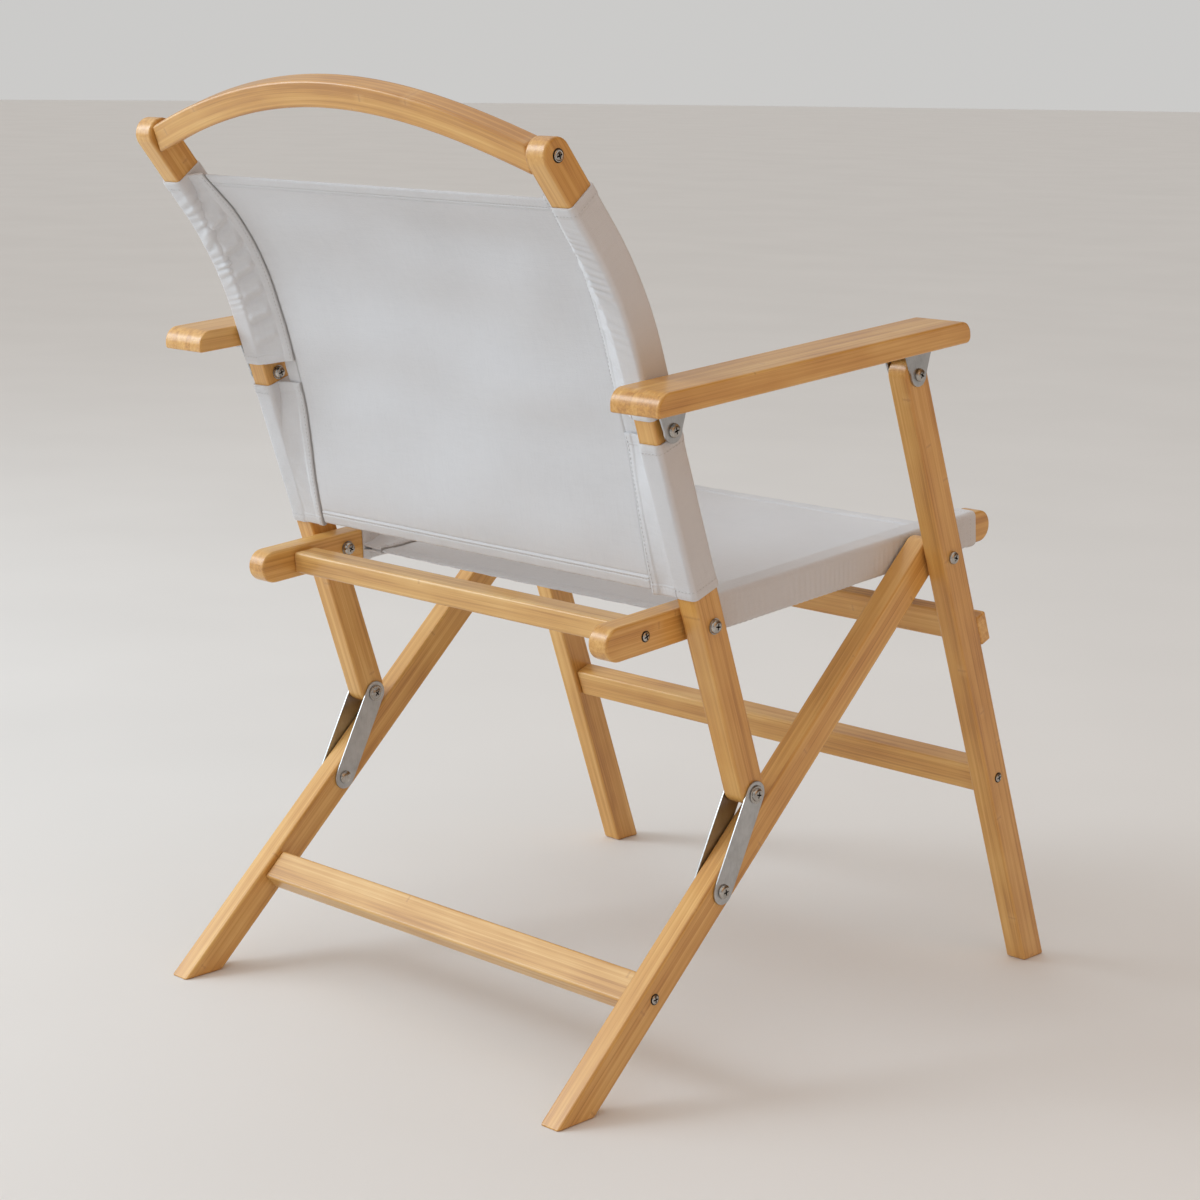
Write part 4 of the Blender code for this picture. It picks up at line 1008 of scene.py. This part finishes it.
# seat: panel with a sleeve along each rail
SEAT_U0, SEAT_U1, SEAT_MID, SEAT_SAG = -96.0, 264.0, -3.0, 0.8
SEAT_SEAM = 25.0                # from the inner face of a rail to the seam


def rail_place(u, x, n, s):
    y, z = at(P_FRONT, D_RAIL, u, n)
    return (s * ((S_IN + S_OUT) / 2 + x), y, z)


seat = Cloth()


def seat_bulge(seed):
    def f(u, x, n, ox, on):
        outer = smooth01((x - 6.0) / 4.0)
        inner = smooth01((-x - 6.0) / 4.0)
        upr = smooth01((n - 8.0) / 5.0)
        ph = u / 6.6 + 0.5 * sin(u / 29.0 + seed) + 0.010 * n * sin(u / 43.0)
        fine = (0.5 + 0.5 * sin(2 * pi * ph)) ** 2 * (0.55 + 0.45 * wave(u / 21.0, seed + 5))
        h = outer * 0.85 * fine + inner * 0.5 * fine + upr * 0.12 * (1 + wave(u / 19.0, seed + 9))
        h += (outer + inner) * 0.10 * (1 + wave(u / 37.0 + n / 14.0, seed + 2))
        return max(0.0, min(0.45 if outer > 0.02 else 0.75, h))
    return f


for k, (tag, s) in enumerate(SIDES):
    sleeve(seat, rail_place, s, SEAT_U0, SEAT_U1, (S_OUT - S_IN) / 2, RAIL_W / 2, seat_bulge(13 + 3 * k), 13 + k, 1.3, "seat", (True, True), 10.0)

SX = S_IN - 12.0


def seat_point(x, u, e):
    """Seat panel: e = +1 upper face, -1 lower face; larger values stand off the cloth."""
    edge = min(u - SEAT_U0 - 0.6, SEAT_U1 - 0.6 - u)
    side = SX - abs(x)
    sew = S_IN - SEAT_SEAM - abs(x)
    t = CL / 2
    if edge < 16.0:
        t += ridge(edge, 12.4, 0.9, 0.8, (10.2,)) * smooth01((sew + 1.0) / 2.5)
    t -= 0.52 * exp(-((sew - 0.6) / 1.2) ** 2)
    t -= 0.75 * (1 - smooth01(edge / 1.3))
    t -= 0.30 * (1 - smooth01(side / 1.2))
    sag = -SEAT_SAG * (1 - (x / SX) ** 2)
    puck = 0.25 * wave(u / 6.1, 61 if x > 0 else 67) * exp(-abs(sew) / 14.0) * smooth01(edge / 20.0)
    puck += 0.28 * wave(x / 5.6, 71 if u > 80 else 73) * exp(-edge / 12.0) * smooth01(sew / 25.0)
    broad = 1.2 * wave(x / 80.0 + u / 120.0, 81) * smooth01(sew / 50.0) * smooth01(edge / 40.0)
    n = SEAT_MID + sag + puck + broad + e * t
    y, z = at(P_FRONT, D_RAIL, u, n)
    return (x, y, z)


a0, a1 = SEAT_U0 + 0.6, SEAT_U1 - 0.6
us = even(a0, a0 + 1.5, 3) + even(a0 + 1.5, a0 + 16.0, 25)[1:] + even(a0 + 16.0, a1 - 16.0, 110)[1:] + even(a1 - 16.0, a1 - 1.5, 25)[1:] + even(a1 - 1.5, a1, 3)[1:]
xs = even(-SX, -SX + 26.0, 52) + even(-SX + 26.0, SX - 26.0, 100)[1:] + even(SX - 26.0, SX, 52)[1:]
# third value: noise seed 4, plus a painted shade line along the seam beside each rail
seat.grid([[seat_point(x, u, 1) for x in xs] for u in us], [[seat_point(x, u, -1) for x in xs] for u in us],
          [[(u, x + 600.0, 40.0 + 0.95 * exp(-((S_IN - SEAT_SEAM - abs(x) - 0.2) / 0.9) ** 2)) for x in xs] for u in us], len(us), len(xs))
for e in (1, -1):
    for u in (a0 + 10.2, a1 - 10.2):
        stitch_rows["seat"].append([(Vector(seat_point(x, u, e)), Vector(seat_point(x, u, e * 3))) for x in even(-SX + 16, SX - 16, 220)])
for k, (tag, s) in enumerate(SIDES):
    def seat_folds(u, q, side, body_):
        return body_ * (0.45 * wave(u / 19.0 + 1.5 * q, 105 + k) + 0.25 * wave(u / 5.0, 107 + k) * (1 - q)) + 0.25 * wave(u / 6.1, 61 if s > 0 else 67) * q
    leaves(seat, "seat", s, k, SEAT_U0 + 0.4, SEAT_U1 - 0.4, S_IN, RAIL_W / 2, lambda u: SEAT_SEAM, lambda u: SEAT_MID, lambda u, n: at(P_FRONT, D_RAIL, u, n), seat_folds, (True, True), 0.97)
seat_cloth = seat.build("seat_cloth", "seat", ["seat_canvas"], CANVAS)


def stitches(name, rows, body, pitch=3.5, length=2.5):
    """Rows of small thread stitches; each is a pinched, flattened spindle half sunk in the cloth."""
    verts, faces, attr = [], [], []
    for row in rows:
        dist = [0.0]
        for (p, _), (q, _) in zip(row[:-1], row[1:]):
            dist.append(dist[-1] + (q - p).length)
        total = dist[-1]
        count = int(total / pitch)

        def sample(d):
            d = min(max(d, 0.0), total - 1e-6)
            i = 0
            lo_, hi_ = 0, len(dist) - 1
            while hi_ - lo_ > 1:
                mid = (lo_ + hi_) // 2
                if dist[mid] <= d:
                    lo_ = mid
                else:
                    hi_ = mid
            f = (d - dist[lo_]) / max(1e-9, dist[lo_ + 1] - dist[lo_])
            p = row[lo_][0].lerp(row[lo_ + 1][0], f)
            q = row[lo_][1].lerp(row[lo_ + 1][1], f)
            return p, (q - p).normalized()
        for k in range(count):
            d = (k + 0.5) * total / count
            a, na = sample(d - length / 2)
            b, nb = sample(d + length / 2)
            c, nc = sample(d)
            axis = (b - a).normalized()
            sidev = axis.cross(nc).normalized()
            base = len(verts)
            verts.append(tuple(a - na * 0.12))
            attr.append((d, 0.0, 50.0))
            for f in (0.25, 0.75):
                m_ = a.lerp(b, f) + nc * 0.05
                for q in range(6):
                    t_ = 2 * pi * q / 6
                    verts.append(tuple(m_ + sidev * (0.42 * cos(t_)) + nc * (0.30 * sin(t_))))
                    attr.append((d + f * 2.0, q * 0.3, 50.0))
            verts.append(tuple(b - nb * 0.12))
            attr.append((d, 0.0, 50.0))
            for q in range(6):
                j = (q + 1) % 6
                faces.append((base, base + 1 + j, base + 1 + q))
                faces.append((base + 1 + q, base + 1 + j, base + 7 + j, base + 7 + q))
                faces.append((base + 7 + q, base + 7 + j, base + 13))
    ob = raw_object(verts, faces, attr, "cloth")
    me = ob.data.copy()
    bpy.data.objects.remove(ob, do_unlink=True)
    me.shade_smooth()
    return finish_object(name, me, THREAD, body, [])


back_thread = stitches("back_stitching", stitch_rows["back"], "back")
seat_thread = stitches("seat_stitching", stitch_rows["seat"], "seat")

# ---------------------------------------------------------------- floor, light, camera
fl = Nodes("floor_pale")
tc = fl.add("ShaderNodeTexCoord")
fl.link(fl.ramp(fl.noise(tc.outputs["Object"], 2.2, 2.0), [(0.3, (0.800, 0.785, 0.765)), (0.7, (0.825, 0.810, 0.790))]), fl.bsdf.inputs["Base Color"])
fl.bsdf.inputs["Roughness"].default_value = 0.75
fl.bsdf.inputs["Specular IOR Level"].default_value = 0.2
me = bpy.data.meshes.new("floor")
bm = bmesh.new()
bmesh.ops.create_circle(bm, cap_ends=True, segments=96, radius=30.0)
bm.to_mesh(me)
bm.free()
floor_ob = bpy.data.objects.new("floor", me)
scene.collection.objects.link(floor_ob)
me.materials.append(fl.mat)

world = bpy.data.worlds.new("studio")
scene.world = world
world.use_nodes = True
wt = world.node_tree
wtc = wt.nodes.new("ShaderNodeTexCoord")
dot = wt.nodes.new("ShaderNodeVectorMath")
dot.operation = 'DOT_PRODUCT'
dot.inputs[1].default_value = Vector((0.66, 0.60, 0.45)).normalized()
wt.links.new(wtc.outputs["Generated"], dot.inputs[0])
half_ = wt.nodes.new("ShaderNodeMath")
half_.operation = 'MULTIPLY_ADD'
half_.inputs[1].default_value = 0.5
half_.inputs[2].default_value = 0.5
wt.links.new(dot.outputs["Value"], half_.inputs[0])
wr = wt.nodes.new("ShaderNodeValToRGB")
for el, (pp, cc) in zip([wr.color_ramp.elements[0], wr.color_ramp.elements[1], wr.color_ramp.elements.new(0.56)], ((0.22, (0.24, 0.130, 0.062)), (0.95, (0.82, 0.93, 1.0)), (0.56, (0.70, 0.69, 0.68)))):
    el.position = pp
    el.color = (cc[0], cc[1], cc[2], 1.0)
wt.links.new(half_.outputs[0], wr.inputs[0])
wt.links.new(wr.outputs[0], wt.nodes["Background"].inputs["Color"])
wt.nodes["Background"].inputs["Strength"].default_value = 0.66
# the backdrop in sight is plain; the gradient only lights the chair
plain = wt.nodes.new("ShaderNodeBackground")
plain.inputs["Color"].default_value = (0.60, 0.595, 0.585, 1.0)
sight = wt.nodes.new("ShaderNodeLightPath")
either = wt.nodes.new("ShaderNodeMixShader")
wt.links.new(sight.outputs["Is Camera Ray"], either.inputs[0])
wt.links.new(wt.nodes["Background"].outputs[0], either.inputs[1])
wt.links.new(plain.outputs[0], either.inputs[2])
wt.links.new(either.outputs[0], wt.nodes["World Output"].inputs["Surface"])


def area(name, pos, target, size, power, color):
    li = bpy.data.lights.new(name, 'AREA')
    li.shape = 'DISK'
    li.size = size
    li.energy = power
    li.color = color
    ob = bpy.data.objects.new(name, li)
    scene.collection.objects.link(ob)
    ob.location = pos
    ob.rotation_euler = (Vector(target) - Vector(pos)).to_track_quat('-Z', 'Y').to_euler()
    return ob


area("key", (2.3, 2.1, 2.4), (0, 0, 0.4), 1.4, 34.5, (0.80, 0.91, 1.0))
area("window", (3.1, 1.8, 1.4), (0, 0, 0.45), 1.8, 30.0, (0.78, 0.90, 1.0))
area("fill", (-2.8, 0.2, 1.5), (0, 0, 0.4), 2.6, 10.8, (1.0, 0.54, 0.24))
top_li = bpy.data.lights.new("top", 'SUN')
top_li.energy = 0.60
top_li.color = (1.0, 0.95, 0.88)
top_li.angle = radians(100.0)
top_ob = bpy.data.objects.new("top", top_li)
scene.collection.objects.link(top_ob)
top_ob.rotation_euler = (radians(-12.0), radians(14.0), 0.0)

cam = bpy.data.cameras.new("camera")
cam.sensor_fit = 'HORIZONTAL'
cam.sensor_width = 36.0
cam.lens = 80.306
cam.shift_x = 0.02004
cam.shift_y = -0.0749
cam.clip_start, cam.clip_end = 0.05, 100.0
cam_ob = bpy.data.objects.new("camera", cam)
scene.collection.objects.link(cam_ob)
fwd = Vector((0.68830196, -0.7038673, -0.1755313)).normalized()
right = fwd.cross(Vector((0, 0, 1))).normalized()
up = right.cross(fwd)
ca, sa = cos(0.0102), sin(0.0102)
r2, u2 = right * ca + up * sa, up * ca - right * sa
rot = Matrix((r2, u2, -fwd)).transposed().to_4x4()
cam_ob.matrix_world = Matrix.Translation((-1.6128, 1.6755, 0.8354)) @ rot
scene.camera = cam_ob
scene.view_settings.view_transform = 'Standard'
scene.view_settings.look = 'None'

for name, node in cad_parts.items():
    if not node.data.materials or not any(m in (BAMBOO, CANVAS, ZINC, NICKEL) for m in node.data.materials):
        node.data.materials.clear()
        node.data.materials.append(BAMBOO)
